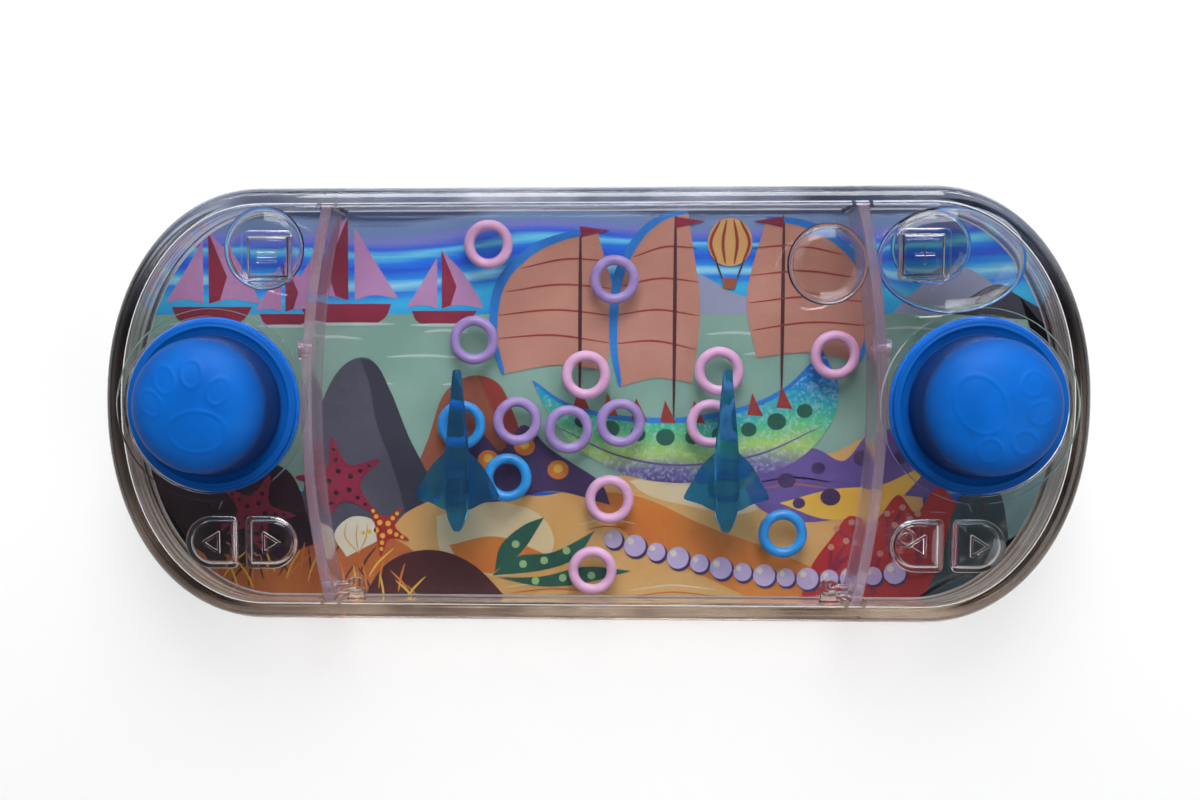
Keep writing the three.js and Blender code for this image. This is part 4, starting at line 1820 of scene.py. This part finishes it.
@dataclass
class Marks:
    """Plain raised signs on the dummy buttons: bars, a cross and arrow heads."""

    case: Case
    rise: float = 0.18
    root: float = 0.3
    bar: float = 0.56
    arrow_offset: float = 4.4

    def strip(self, ends: tuple[Point, Point], middle: Point) -> Piece:
        """One bar of a sign, with rounded ends and sloping sides.

        Args:
            ends: Middles of its round ends.
            middle: Middle of the sign.

        Returns:
            The bar, to be joined to the front tray.
        """
        start, end = Vector(ends[0]), Vector(ends[1])
        along = (end - start).normalized()
        turn = math.degrees(math.atan2(along.y, along.x))
        top = self.case.depth + self.case.relief_rise
        loops = []
        for radius, z in ((self.bar * 0.7, top - self.root), (self.bar * 0.25, top + self.rise)):
            points = arc(tuple(end), radius, turn - 90, turn + 90, 6)
            points += arc(tuple(start), radius, turn + 90, turn + 270, 6)
            loops.append(at_height(points, z, middle))
        return loft("bar", loops)

    def strips(self) -> list[Piece]:
        """Every bar of every sign, to be joined to the front tray.

        Returns:
            The bars.
        """
        strips = []
        bars = [((-1.3, 0.8), (1.3, 0.8)), ((-1.3, 0.0), (1.3, 0.0)), ((-1.3, -0.8), (1.3, -0.8))]
        cross = [((-1.3, 0.0), (1.3, 0.0)), ((0.0, -1.3), (0.0, 1.3))]
        arrow = [((-0.9, -1.5), (1.5, 0.0)), ((1.5, 0.0), (-0.9, 1.5)), ((-0.9, 1.5), (-0.9, -1.5))]
        for _, side in SIDES:
            x, y = self.case.square_place
            signs = [(bars if side < 0 else cross, (side * x, y), 1)]
            x, y = self.case.stadium_place
            signs += [(arrow, (side * x + turn * self.arrow_offset, y), turn) for turn in (-1, 1)]
            for sign, middle, turn in signs:
                for (ax, ay), (bx, by) in sign:
                    strips.append(self.strip(((turn * ax, ay), (turn * bx, by)), middle))
        return strips


@dataclass
class Rings:
    """The loose rings, each made at the place of its node."""

    colours: tuple[str, ...] = (
        "pink", "lilac", "lilac", "pink", "pink", "pink", "blue", "lilac", "lilac", "lilac",
        "pink", "blue", "pink", "blue", "pink",
    )
    outer: float = 7.7
    section: float = 1.6

    def build(self, shop: Workshop) -> None:
        """Builds and dresses every ring.

        Args:
            shop: The materials.
        """
        for index, colour in enumerate(self.colours, start=1):
            node = f"ring_{index:02d}"
            deselect()
            bpy.ops.mesh.primitive_torus_add(
                location=box_middle(node) * MM,
                major_radius=(self.outer - self.section) / 2 * MM,
                minor_radius=self.section / 2 * MM,
                major_segments=72,
                minor_segments=24,
            )
            ring = name_piece(f"soft_{node}")
            dress(ring, shop.vinyl[colour])
            smooth(ring, 80)
            finish_piece(ring, node, f"ring_{colour}", node)


# Picture


class Ink(Enum):
    """Inks of the picture: the full colour, and the paler one where the ink is thin."""

    MAUVE = ("#B17BA6", "#C596BC")
    CRIMSON = ("#7E1430", "#9A2440")
    SAGE = ("#7FA791", "#93B8A2")
    FOAM = ("#AFC9B8", "#C6D9CB")
    MIST = ("#8F96AC", "#A3A9BB")
    SLATE = ("#484953", "#585963")
    DARK_SLATE = ("#2E2F3A", "#3B3C47")
    TERRACOTTA = ("#8E4A2C", "#A25C3A")
    SAND = ("#CF9F55", "#DDB36D")
    PALE_SAND = ("#D3C08C", "#E2D2A4")
    ORANGE = ("#C86F22", "#DB8A34")
    BROWN = ("#43191A", "#572622")
    SALMON = ("#BA8068", "#CB937B")
    OXBLOOD = ("#8C2B1F", "#A23A2B")
    BLUE = ("#1672BE", "#2A8BD6")
    VIOLET = ("#5A4786", "#6E5A99")
    DEEP_VIOLET = ("#38264F", "#4A3563")
    FOREST = ("#1B5440", "#286A52")
    LEAF = ("#8FB873", "#A9CC8C")
    RED = ("#A31D1E", "#BE2F27")
    DEEP_TEAL = ("#274449", "#33565A")
    PALE_TEAL = ("#77A5A2", "#8CB8B4")
    MAROON = ("#220B12", "#33141C")
    STRAW = ("#B05E24", "#C47233")
    CREAM = ("#D6D2B2", "#E4E0C6")
    YELLOW = ("#DDAF2F", "#EAC455")
    PEARL = ("#B3A2C6", "#CBBEDA")
    FILM = ("", "film")
    GLITTER = ("", "glitter")


@dataclass
class Picture:
    """Printed picture of boats, a junk, dunes and a reef, ink by ink on rainbow film."""

    case: Case
    pump_x: float
    inks: dict[Ink, Material] = field(default_factory=dict)
    pending: list[Piece] = field(default_factory=list)
    layer_step: float = 0.02
    stroke_step: float = 0.0015
    strokes: int = 0
    draw: random.Random = field(default_factory=lambda: random.Random(7))

    def mix_inks(self) -> None:
        """Makes a material of each ink."""
        for ink in Ink:
            if ink.value[0]:
                self.inks[ink] = PrintedInk(f"{ink.name.lower()}_ink", *ink.value).material()
        # The film's bands and bright streaks are painted light from its grating.
        self.inks[Ink.FILM] = RainbowFilm(
            "rainbow_film",
            (
                (0.0, "#2A66CC"), (0.2, "#25A6E8"), (0.38, "#46CCF6"), (0.46, "#2B8CF0"),
                (0.52, "#A4F2FF"), (0.57, "#2FA8FA"), (0.64, "#3564E6"), (0.7, "#2A8CFA"),
                (0.75, "#7CE8FF"), (0.79, "#3A74F0"), (0.85, "#8C92DC"), (0.91, "#7E9CC4"),
                (0.96, "#86A2C6"), (1.0, "#4A5C7C"),
            ),
        ).material()
        self.inks[Ink.GLITTER] = GlitterInk(
            "glitter_ink",
            (
                (0.0, "#5B4C8A"), (0.12, "#7A74A0"), (0.26, "#B6DC6C"), (0.42, "#58D08F"),
                (0.62, "#18AEC2"), (0.8, "#1277E0"), (1.0, "#1A4CC0"),
            ),
            top_mm=9.0,
            foot_mm=-12.0,
        ).material()

    def fit(self, point: Point) -> Point:
        """Moves a point that lies off the card onto its edge.

        Args:
            point: A point in millimetres.

        Returns:
            The point, or the one on the edge next to it.
        """
        case = self.case
        half_straight = case.length / 2 - case.end_depth
        reach = case.end_depth - case.card_inset
        x = max(min(point[0], half_straight + reach), -half_straight - reach)
        share = max(abs(x) - half_straight, 0) / reach
        top = (case.height / 2 - case.card_inset) * (1 - share**case.end_power) ** (1 / case.end_power)
        return x, max(min(point[1], top), -top)

    def area(self, ink: Ink, layer: int, outline: list[Point]) -> None:
        """Lays one closed area of ink on the card.

        Args:
            ink: Ink of the area.
            layer: Number of its layer, from the card up. Each area lies a hair above the last one of its
                layer, so that no two faces share a plane.
            outline: Outline in millimetres.
        """
        fitted = [self.fit(point) for point in outline]
        kept = [point for index, point in enumerate(fitted) if math.dist(point, fitted[index - 1]) > 0.01]
        low = self.case.card_top
        high = low + self.layer_step * (layer + 1) + self.stroke_step * (self.strokes % 12)
        self.strokes += 1
        piece = loft("ink", [at_height(kept, low), at_height(kept, high)])
        dress(piece, self.inks[ink])
        self.pending.append(piece)

    def patch(self, ink: Ink, layer: int, *knots: Knot) -> None:
        """Lays a smooth area through knots."""
        self.area(ink, layer, spread(list(knots)))

    def line(self, ink: Ink, layer: int, width: float, *knots: Knot) -> None:
        """Draws a stroke through knots."""
        self.area(ink, layer, ribbon(list(knots), width))

    def spot(self, ink: Ink, layer: int, x: float, y: float, radius: float, squeeze: float = 1) -> None:
        """Draws a round or oval spot."""
        outline = [(x + px, y + py * squeeze) for px, py in arc((0, 0), radius, 0, 345, 23)]
        self.area(ink, layer, outline)

    def finish(self, name: str) -> None:
        """Joins what was drawn last to one motif that rides on the case.

        Args:
            name: Name of the motif.
        """
        motif = join(self.pending, name)
        self.pending = []
        finish_piece(motif, "case", "print")

    def sky_and_sea(self) -> None:
        """Film over the whole card, and a calm sea with wave lines."""
        self.area(Ink.FILM, 0, self.case.outline(self.case.card_inset))
        self.finish("print_sky")
        self.patch(Ink.SAGE, 1, (-76, 14.4, 1), (76, 14.4, 1), (76, -14, 1), (-76, -14, 1))
        waves = (
            (-46, 10.6, 9), (-33, 7.6, 12), (-40, 3.4, 8), (-62, 12.2, 8), (-27, 11.6, 7), (-24, 3.2, 8),
            (18, 11.2, 9), (46, 12.0, 8), (58, 9.4, 9), (24, 8.0, 6), (48, 6.4, 7), (-70, 6.0, 6),
        )
        for x, y, length in waves:
            self.line(Ink.FOAM, 2, 0.45, (x, y), (x + length / 2, y + 0.25), (x + length, y - 0.1))
        self.finish("print_sea")

    def islands(self) -> None:
        """Far islands on the line between sky and sea."""
        self.patch(
            Ink.MIST, 2, (3, 14.3, 1), (8, 18.6), (12.5, 21.4), (17, 20.6), (22, 17.8), (27, 16.4),
            (33, 14.3, 1),
        )
        self.patch(Ink.MIST, 2, (47, 14.3, 1), (51, 18.2), (56, 21.8), (61, 20.2), (68, 14.3, 1))
        self.patch(Ink.DARK_SLATE, 3, (56.5, 14.3, 1), (60, 17.4), (63.5, 18.9), (67, 17.0), (74, 13.0, 1))
        self.finish("print_islands")

    def boats(self) -> None:
        """Small boats with mauve sails, at the left."""
        places = (
            (-62.0, 15.2, 1.0, 1), (-38.6, 15.6, 1.15, -1), (-24.4, 14.6, 0.8, 1), (-49.5, 14.2, 0.7, 1),
        )
        sail = ((0.4, 12.4, 1), (4.4, 8.2), (7.6, 3.4), (8.8, 0.9, 1), (4.2, 1.6), (0.4, 0.9, 1))
        shade = ((0.4, 12.4, 1), (3.4, 5.2, 1), (2.2, 1.5, 1), (0.4, 0.9, 1))
        jib = ((-0.5, 11.0, 1), (-3.0, 6.8), (-6.6, 1.1, 1), (-3.2, 1.6), (-0.5, 0.9, 1))
        hull = ((-5.6, 0.4, 1), (7.4, 0.4, 1), (6.0, -1.7), (4.2, -2.3, 1), (-3.6, -2.3, 1), (-4.9, -1.3))
        for x, y, size, turn in places:
            parts = (
                (Ink.MAUVE, 3, sail), (Ink.CRIMSON, 4, shade), (Ink.MAUVE, 3, jib),
                (Ink.CRIMSON, 3, hull),
            )
            for ink, layer, knots in parts:
                moved = [(x + turn * size * knot[0], y + size * knot[1], *knot[2:]) for knot in knots]
                self.patch(ink, layer, *moved)
            foot = [(x + turn * size * px, y - 2.4 * size) for px in (-6, 0, 7)]
            self.line(Ink.FOAM, 5, 0.5, *foot)
        self.finish("print_boats")

    def stacks(self) -> None:
        """Slate stacks and a terracotta arch in the sea."""
        self.patch(
            Ink.SLATE, 4, (-48, -22, 1), (-45.5, -8), (-43, 1.5), (-39.5, 6.6), (-35.5, 7.2), (-32.5, 2.5),
            (-29.5, -5), (-26, -12), (-22, -22, 1),
        )
        self.patch(
            Ink.DARK_SLATE, 5, (-37.2, 7.4, 1), (-34.6, 6.4), (-32.2, 1.8), (-29.3, -5.4), (-26, -12),
            (-22, -22, 1), (-29, -22, 1), (-31.4, -12), (-34.6, -3), (-35.6, 2.6),
        )
        self.patch(
            Ink.TERRACOTTA, 3, (-30, -14, 1), (-26.5, -6), (-23.8, 1.6), (-19.5, 4.6), (-15, 3.4),
            (-12.6, -1.5), (-10, -9), (-8, -14, 1), (-12.6, -14, 1), (-15, -9), (-18.6, -7),
            (-21.6, -9.4), (-23, -14, 1),
        )
        self.patch(
            Ink.OXBLOOD, 4, (-18.4, 4.8, 1), (-15, 3.2), (-12.4, -1.8), (-10, -9), (-8, -14, 1),
            (-10.6, -14, 1), (-13.8, -7), (-15.6, -1.6),
        )
        self.finish("print_stacks")

    def dunes(self) -> None:
        """Sand, pale sand and orange dunes along the foot of the tank."""
        self.patch(
            Ink.SAND, 5, (-34, -33, 1), (-32, -20), (-26, -15.4), (-19, -13), (-8, -14.6), (4, -11.4),
            (16, -12.6), (28, -9), (38, -7.6), (47, -4), (52, -12), (54, -33, 1),
        )
        self.patch(
            Ink.ORANGE, 6, (-2, -13.6, 1), (8, -14.8), (18, -19.2), (28, -22.8), (38, -27.5), (43, -33, 1),
            (30, -33, 1), (18, -27.4), (8, -22.6),
        )
        self.patch(
            Ink.PALE_SAND, 6, (6, -12.2, 1), (12, -10.8), (20, -11.4), (27, -15), (24, -17.4), (15, -16),
            (9, -14.4),
        )
        self.patch(
            Ink.PALE_SAND, 6, (-25, -18, 1), (-17, -15.6), (-9, -17.2), (-6, -22), (-9, -26.4),
            (-17, -27.4), (-24, -24),
        )
        self.patch(Ink.ORANGE, 7, (-23, -22.6, 1), (-15, -21.2), (-6, -24.6, 1), (-12, -27.2), (-20, -26.4))
        self.patch(Ink.BROWN, 7, (-38, -33, 1), (-33, -25.6), (-26, -23.4), (-19, -25.8), (-12, -33, 1))
        for x, y, length in (
            (-14, -29.4, 16), (6, -29.8, 14), (-2, -19.2, 9), (26, -12.4, 12), (30, -15.6, 11),
        ):
            self.line(Ink.PALE_SAND, 8, 0.3, (x, y), (x + length / 2, y + 0.9), (x + length, y + 0.2))
            self.line(
                Ink.STRAW, 8, 0.22, (x + 1, y - 0.9), (x + length / 2, y - 0.2), (x + length, y - 0.8),
            )
        self.finish("print_dunes")

    def sail(self, foot: Point, top: Point, width: float) -> None:
        """One fan sail of the junk with its battens and its blue edge.

        Args:
            foot: Foot of its mast.
            top: Top of its mast.
            width: Reach of the sail to the right of the mast, negative to the left.
        """
        x, low, high = foot[0], foot[1] + 5.5, top[1]
        rise = high - low
        outer = (
            (x + 0.22 * width, high - 0.5), (x + 0.62 * width, high - 0.14 * rise),
            (x + 0.95 * width, low + 0.62 * rise), (x + 1.02 * width, low + 0.25 * rise),
        )
        edge = [(x - 0.2 * width, high + 0.4, 1), *outer, (x + 0.9 * width, low - 0.6, 1)]
        luff = (
            (x + 0.3 * width, low + 0.8), (x - 0.3 * width, low, 1),
            (x - 0.42 * width, low + 0.45 * rise),
        )
        self.patch(Ink.SALMON, 9, *edge, *luff)
        for share in (0.2, 0.4, 0.6, 0.8):
            start = (x - (0.3 + 0.1 * math.sin(math.pi * share)) * width, low + share * rise)
            end = (x + (1.02 - 0.62 * share**3) * width, low + (share * 0.86 + 0.06) * rise)
            middle = ((start[0] + end[0]) / 2, (start[1] + end[1]) / 2 + 0.9)
            self.line(Ink.OXBLOOD, 10, 0.32, start, middle, end)
        self.line(Ink.BLUE, 11, 1.5, *edge)
        self.line(Ink.BROWN, 10, 0.6, foot, (x, high + 1.2))

    def junk(self) -> None:
        """The junk: glitter hull with round shields, fan sails and pennants."""
        self.patch(
            Ink.GLITTER, 9, (-9.5, 3.6, 1), (-4, -0.2), (4, -2.2), (14, -2.6), (24, -0.8), (31, 2.6),
            (36.5, 8.4, 1), (39, 2.5), (37.2, -4), (31, -9.6), (20, -12.2), (8, -11.8), (-1.5, -7.6),
            (-6.6, -1.6),
        )
        self.line(
            Ink.BLUE, 10, 0.9, (-9.6, 3.8), (-4, 0), (4, -2), (14, -2.4), (24, -0.6), (31, 2.8),
            (36.5, 8.6),
        )
        self.line(Ink.VIOLET, 10, 0.35, (-5.4, -3.6), (4, -8), (14, -9.6), (26, -8), (36.4, -3.4))
        for index in range(9):
            x = -1.5 + 4.4 * index
            y = -5.2 + 0.011 * (x - 14) ** 2
            self.spot(Ink.FOREST, 10, x, y, 1.25 + 0.25 * (index % 2), 0.9)
        for index in range(8):
            x = -3 + 4.6 * index
            y = -2.1 + 0.009 * (x - 13) ** 2
            self.patch(Ink.OXBLOOD, 11, (x, y - 0.7, 1), (x + 2.6, y - 0.9, 1), (x + 0.8, y + 2.8, 1))
        self.finish("print_junk_hull")
        self.sail((-2.0, 0.0), (-2.0, 27.0), -13.5)
        self.sail((13.0, -2.0), (13.0, 30.0), -9.5)
        self.sail((30.0, 2.0), (30.0, 29.0), 13.5)
        for x, y, turn in ((-2, 28.2, 1), (13, 29.6, 1), (30, 29.6, -1)):
            self.patch(Ink.CRIMSON, 12, (x, y, 1), (x + turn * 4.6, y - 0.7, 1), (x, y - 1.8, 1))
        self.finish("print_junk_sails")

    def swell(self) -> None:
        """Violet swell with darker spots under the junk."""
        self.patch(
            Ink.VIOLET, 8, (24, -13, 1), (29, -8.4), (35, -6.8), (40, -8.8), (44, -4.4), (49, -4.2),
            (55, -9), (56, -15, 1), (47, -14.4), (41, -17.6), (33, -18.6), (27, -16.6),
        )
        for x, y, radius in (
            (31, -12, 1.4), (36, -10, 1.1), (38, -14.6, 1.6), (43, -8.4, 1.5), (44.5, -12.4, 1.1),
            (33, -15.6, 1.0), (49, -8.2, 1.2),
        ):
            self.spot(Ink.DEEP_VIOLET, 9, x, y, radius, 0.85)
        self.patch(
            Ink.DEEP_VIOLET, 8, (-23, -16, 1), (-21.6, -9), (-18, -4.6), (-14.6, -7.4), (-11, -3.2),
            (-7, -6.8), (-3, -9.4), (1.4, -12.4), (3, -16, 1), (-6, -13.8), (-14, -15.4),
        )
        for x, y in ((-16.6, -8.8), (-10.8, -6.6), (-5.4, -10.4)):
            self.spot(Ink.ORANGE, 9, x, y, 1.7, 0.9)
            self.spot(Ink.YELLOW, 10, x, y + 0.2, 0.75, 0.9)
        self.finish("print_swell")

    def weed(self) -> None:
        """Dark green weed with pale dots on the sand."""
        stems = (
            ((-16, -27.5, 1), (-12, -24.4), (-6, -23.6), (0.5, -20.2, 1), (-2.6, -24.6), (-8, -26.6)),
            ((-15, -27.8, 1), (-8, -27.6), (-1, -26), (6.4, -26.6, 1), (-1, -28.6), (-8, -29.2)),
            ((-15.6, -26.8, 1), (-14.6, -22.6), (-11, -19.4), (-7.6, -18, 1), (-10.4, -22.6), (-12.8, -25)),
        )
        for stem in stems:
            self.patch(Ink.FOREST, 9, *stem)
        for x, y in (
            (-11, -25.6), (-7.6, -25), (-4, -23.4), (-9, -28.3), (-4.6, -27.8), (0, -27.4),
            (-12.2, -22.4),
        ):
            self.spot(Ink.LEAF, 10, x, y, 0.62)
        self.finish("print_weed")

    def bank(self) -> None:
        """Grass bank with starfish and a shell at the lower left."""
        self.patch(
            Ink.MAROON, 4, (-76, 3, 1), (-66, -2), (-57, -9), (-48, -12), (-43, -33, 1), (-76, -33, 1),
        )
        self.patch(
            Ink.STRAW, 7, (-70, -24, 1), (-62, -24.6), (-54, -26), (-46, -23), (-38, -20.6), (-31, -22),
            (-26, -27), (-25, -33, 1), (-70, -33, 1),
        )
        for index in range(44):
            x = -64 + 0.88 * index + self.draw.uniform(-0.6, 0.6)
            y = -30 + 4.5 * math.sin(math.pi * (index + 12) / 58) + self.draw.uniform(-2, 2)
            lean = self.draw.uniform(-4.5, 4.5)
            ink = (Ink.BROWN, Ink.ORANGE, Ink.YELLOW)[(index * 7) % 3]
            self.line(ink, 8 + index % 3, 0.34, (x, y - 2.4), (x + lean * 0.4, y), (x + lean, y + 2.2))
        for x, y, radius, swing, ink in (
            (-40.5, -12.5, 7.4, 12, Ink.CRIMSON), (-54.5, -17.5, 6.6, 50, Ink.CRIMSON),
            (-33.6, -20.0, 4.6, 30, Ink.RED),
        ):
            star = []
            for tip in range(10):
                angle = math.radians(90 + swing + 36 * tip)
                reach = radius if tip % 2 == 0 else radius * 0.42
                star.append((x + reach * math.cos(angle), y + reach * math.sin(angle)))
            self.patch(ink, 11, *star)
            for tip in range(5):
                angle = math.radians(90 + swing + 72 * tip)
                for share in (0.25, 0.5, 0.72):
                    px, py = x + share * radius * math.cos(angle), y + share * radius * math.sin(angle)
                    self.spot(Ink.YELLOW if ink is Ink.RED else Ink.MAROON, 12, px, py, 0.5 - 0.28 * share)
        self.patch(
            Ink.CREAM, 12, (-39.6, -24.6, 1), (-41.6, -21), (-39, -18.2), (-35.4, -18.6), (-34.6, -22, 1),
        )
        for x in (-40, -38.2, -36.6):
            self.line(Ink.SAND, 13, 0.25, (-37.6, -24), (x + 0.2, -21.4), (x + 0.4, -19.2))
        self.finish("print_bank")

    def reef(self) -> None:
        """Crimson reef and teal rocks at the lower right."""
        self.patch(
            Ink.RED, 9, (33, -33, 1), (35, -26), (38.4, -21), (41, -17.6), (45, -18.4), (48.6, -14.2),
            (51.6, -17), (55, -12.6), (58, -15.4), (60, -11), (63, -16), (64, -33, 1),
        )
        self.patch(
            Ink.DEEP_TEAL, 10, (52, -33, 1), (55.6, -24.4), (57.4, -16.8), (60.6, -11.8), (64.4, -13.6),
            (66, -20), (67.4, -33, 1),
        )
        self.patch(Ink.PALE_TEAL, 8, (60, 0, 1), (66, -6), (76, -4, 1), (76, -33, 1), (58, -33, 1))
        self.patch(
            Ink.YELLOW, 8, (30, -15.6, 1), (38, -13.4), (46, -12.6), (53, -9.6), (47, -16.4), (38, -18.2),
        )
        for x, y, bend in (
            (38.6, -27, 2), (43, -24, -1.6), (47.6, -21.6, 1.8), (52, -23.4, -1.4), (45, -29, 1),
        ):
            for turn in (-1, 0, 1):
                top = (x + bend + turn * 2.4, y + 5.4 - abs(turn))
                self.line(Ink.CRIMSON, 11, 0.7, (x, y - 3), (x + 0.4 * turn, y + 1), top)
                self.spot(Ink.SALMON, 12, *top, 0.5)
        self.finish("print_reef")

    def pearls(self) -> None:
        """Arc of pearls on the sand, foil under a thin lilac ink."""
        for index in range(14):
            x = 3.5 + 3.45 * index
            y = -21.5 - 6.2 * math.sin(math.pi * index / 19)
            radius = 1.45 + 0.3 * (index % 2)
            self.spot(Ink.DEEP_VIOLET, 12, x + 0.25, y - 0.3, radius + 0.12)
            self.spot(Ink.PEARL, 13, x, y, radius)
            self.spot(Ink.CREAM, 14, x - 0.4 * radius, y + 0.4 * radius, 0.3 * radius)
        self.finish("print_pearls")

    def balloon(self) -> None:
        """Small striped balloon in the sky."""
        x, y = 21.6, 25.6
        self.spot(Ink.SAND, 12, x, y, 3.5, 1.08)
        for half in (1.9, 0.7):
            knots = ((x - half, y - 3.4), (x - half * 1.6, y), (x - half * 0.8, y + 3.5))
            self.line(Ink.OXBLOOD, 13, 0.5, *knots)
            self.line(Ink.OXBLOOD, 13, 0.5, *((2 * x - px, py) for px, py in knots))
        self.line(Ink.BROWN, 12, 0.25, (x - 2.2, y - 2.9), (x - 1.1, y - 5.8))
        self.line(Ink.BROWN, 12, 0.25, (x + 2.2, y - 2.9), (x + 1.1, y - 5.8))
        basket = [(x + px, y + py, 1) for px, py in ((-1.2, -5.6), (1.2, -5.6), (0.9, -7.3), (-0.9, -7.3))]
        self.patch(Ink.TERRACOTTA, 13, *basket)
        self.finish("print_balloon")

    def build(self, shop: Workshop) -> None:
        """Lays the card and draws every motif on it.

        Args:
            shop: The materials.
        """
        self.mix_inks()
        card = self.case.card(self.pump_x)
        dress(card, shop.card)
        finish_piece(card, "case", "print", "print_card")
        for draw in (
            self.sky_and_sea, self.islands, self.boats, self.stacks, self.dunes, self.junk, self.swell,
            self.weed, self.bank, self.reef, self.pearls, self.balloon,
        ):
            draw()


# Room


@dataclass
class Studio:
    """Pale floor, soft lamps and the camera of the photograph."""

    camera_place: Point = (0.9, 3.1)
    camera_height: float = 300.0
    camera_turn: Triple = (-0.0906, 0.0535, 0.0008)
    lens_mm: float = 55.486
    shift: Point = (0.0846, 0.1278)
    floor_z: float = -0.1
    floor_half: float = 9000.0
    floor_glow: float = 0.5

    def floor(self) -> None:
        """Lays the floor."""
        deselect()
        bpy.ops.mesh.primitive_plane_add(size=2 * self.floor_half * MM, location=(0, 0, self.floor_z * MM))
        floor = name_piece("floor")
        material = bare_material("pale_paper")
        tree = material.node_tree
        paper = add_node(tree, "BsdfPrincipled", {
            "Base Color": linear("#F4F4F3"), "Roughness": 0.9, "Specular IOR Level": 0.0,
        })
        white = add_node(tree, "Emission", {"Color": linear("#FFFFFF"), "Strength": 1.0})
        path = add_node(tree, "LightPath")
        mirrored = add_node(tree, "Math", {
            0: path.outputs["Is Glossy Ray"], 1: path.outputs["Is Transmission Ray"],
        }, operation="MAXIMUM")
        seen = add_node(tree, "Math", {0: path.outputs["Is Camera Ray"], 1: mirrored}, operation="MAXIMUM")
        share = add_node(tree, "Math", {0: seen, 1: self.floor_glow}, operation="MULTIPLY")
        mix = add_node(tree, "MixShader", {0: share, 1: paper, 2: white})
        add_node(tree, "OutputMaterial", {"Surface": mix})
        dress(floor, material)

    def lamp(self, name: str, place: Vector, size: tuple[float, float], watts: float) -> None:
        """Adds an area lamp that looks at the object.

        Args:
            name: Name of the lamp.
            place: Place in metres.
            size: Width and height in metres.
            watts: Power.
        """
        deselect()
        bpy.ops.object.light_add(type="AREA", location=place)
        lamp = bpy.context.object
        lamp.name = name
        lamp.data.shape = "RECTANGLE"
        lamp.data.size, lamp.data.size_y = size
        lamp.data.energy = watts
        lamp.rotation_euler = (-place).to_track_quat("-Z", "Y").to_euler()

    def light(self) -> None:
        """Lights the room from above left, with a strip behind the long top edge."""
        world = bpy.data.worlds.new("room")
        bpy.context.scene.world = world
        world.use_nodes = True
        tree = world.node_tree
        tree.nodes.clear()
        coords = add_node(tree, "TexCoord")
        axes = add_node(tree, "SeparateXYZ", {0: coords.outputs["Generated"]})
        stops = [(0.06, "#F4F4F4"), (0.3, "#D8DADC"), (0.7, "#E4E6E8"), (0.93, "#5A5C60"), (1, "#3C3E42")]
        height = add_node(tree, "ValToRGB", {"Fac": axes.outputs["Z"]}, stops=stops)
        depth = add_node(tree, "MapRange", {"Value": axes.outputs["Y"], "From Min": -0.7, "From Max": 0.7})
        sides = add_node(
            tree, "ValToRGB", {"Fac": depth}, stops=[(0.1, "#A58E7C"), (0.5, "#3C3735"), (0.9, "#363F52")]
        )
        rise = add_node(tree, "ValToRGB", {
            "Fac": axes.outputs["Z"],
        }, stops=[(0.06, "#FFFFFF"), (0.1, "#000000"), (0.18, "#000000"), (0.36, "#FFFFFF")])
        room = add_node(tree, "Mix", {"Factor": rise, "A": sides, "B": height}, data_type="RGBA")
        glow = add_node(tree, "Background", {"Color": room.outputs["Result"], "Strength": 0.75})
        add_node(tree, "OutputWorld", {"Surface": glow})
        self.lamp("key", Vector((0.02, 0.42, 0.44)), (0.32, 0.32), 3.1)
        self.lamp("strip", Vector((0.0, 0.34, 0.2)), (0.42, 0.035), 0.52)
        self.lamp("low_strip", Vector((0.0, 0.42, 0.12)), (0.42, 0.02), 0.3)
        self.lamp("fill", Vector((0.5, -0.2, 0.6)), (0.4, 0.4), 1.05)

    def camera(self) -> None:
        """Hangs the camera above, a few degrees off the upright, with its crop off its axis."""
        deselect()
        x, y = self.camera_place
        place = Vector((x, y, self.camera_height)) * MM
        bpy.ops.object.camera_add(location=place, rotation=self.camera_turn)
        camera = bpy.context.object
        camera.name = "camera"
        camera.data.lens = self.lens_mm
        camera.data.sensor_width = 36.0
        camera.data.shift_x, camera.data.shift_y = self.shift
        camera.data.clip_start = 0.01
        bpy.context.scene.camera = camera

    def build(self) -> None:
        """Sets up the whole room."""
        self.camera()
        self.floor()
        self.light()
        bpy.context.scene.view_settings.view_transform = "Standard"


def main() -> None:
    """Builds the whole scene."""
    logging.basicConfig(level=logging.INFO, format="%(name)s %(message)s")
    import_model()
    shop = Workshop()
    pump_x = box_middle("pump_crown_right").x
    case = Case()
    case.build(shop, pump_x)
    for name, side in SIDES:
        Pump(name, side, side * pump_x).build(shop)
        partition = Partition(name, side)
        partition.build(shop)
        Nozzle(partition).build(shop)
        Figure(name).build(shop)
    Rings().build(shop)
    Plug().build(shop, pump_x)
    Bubbles().build(shop)
    Picture(case, pump_x).build(shop)
    Studio().build()


if __name__ == "__main__":
    main()
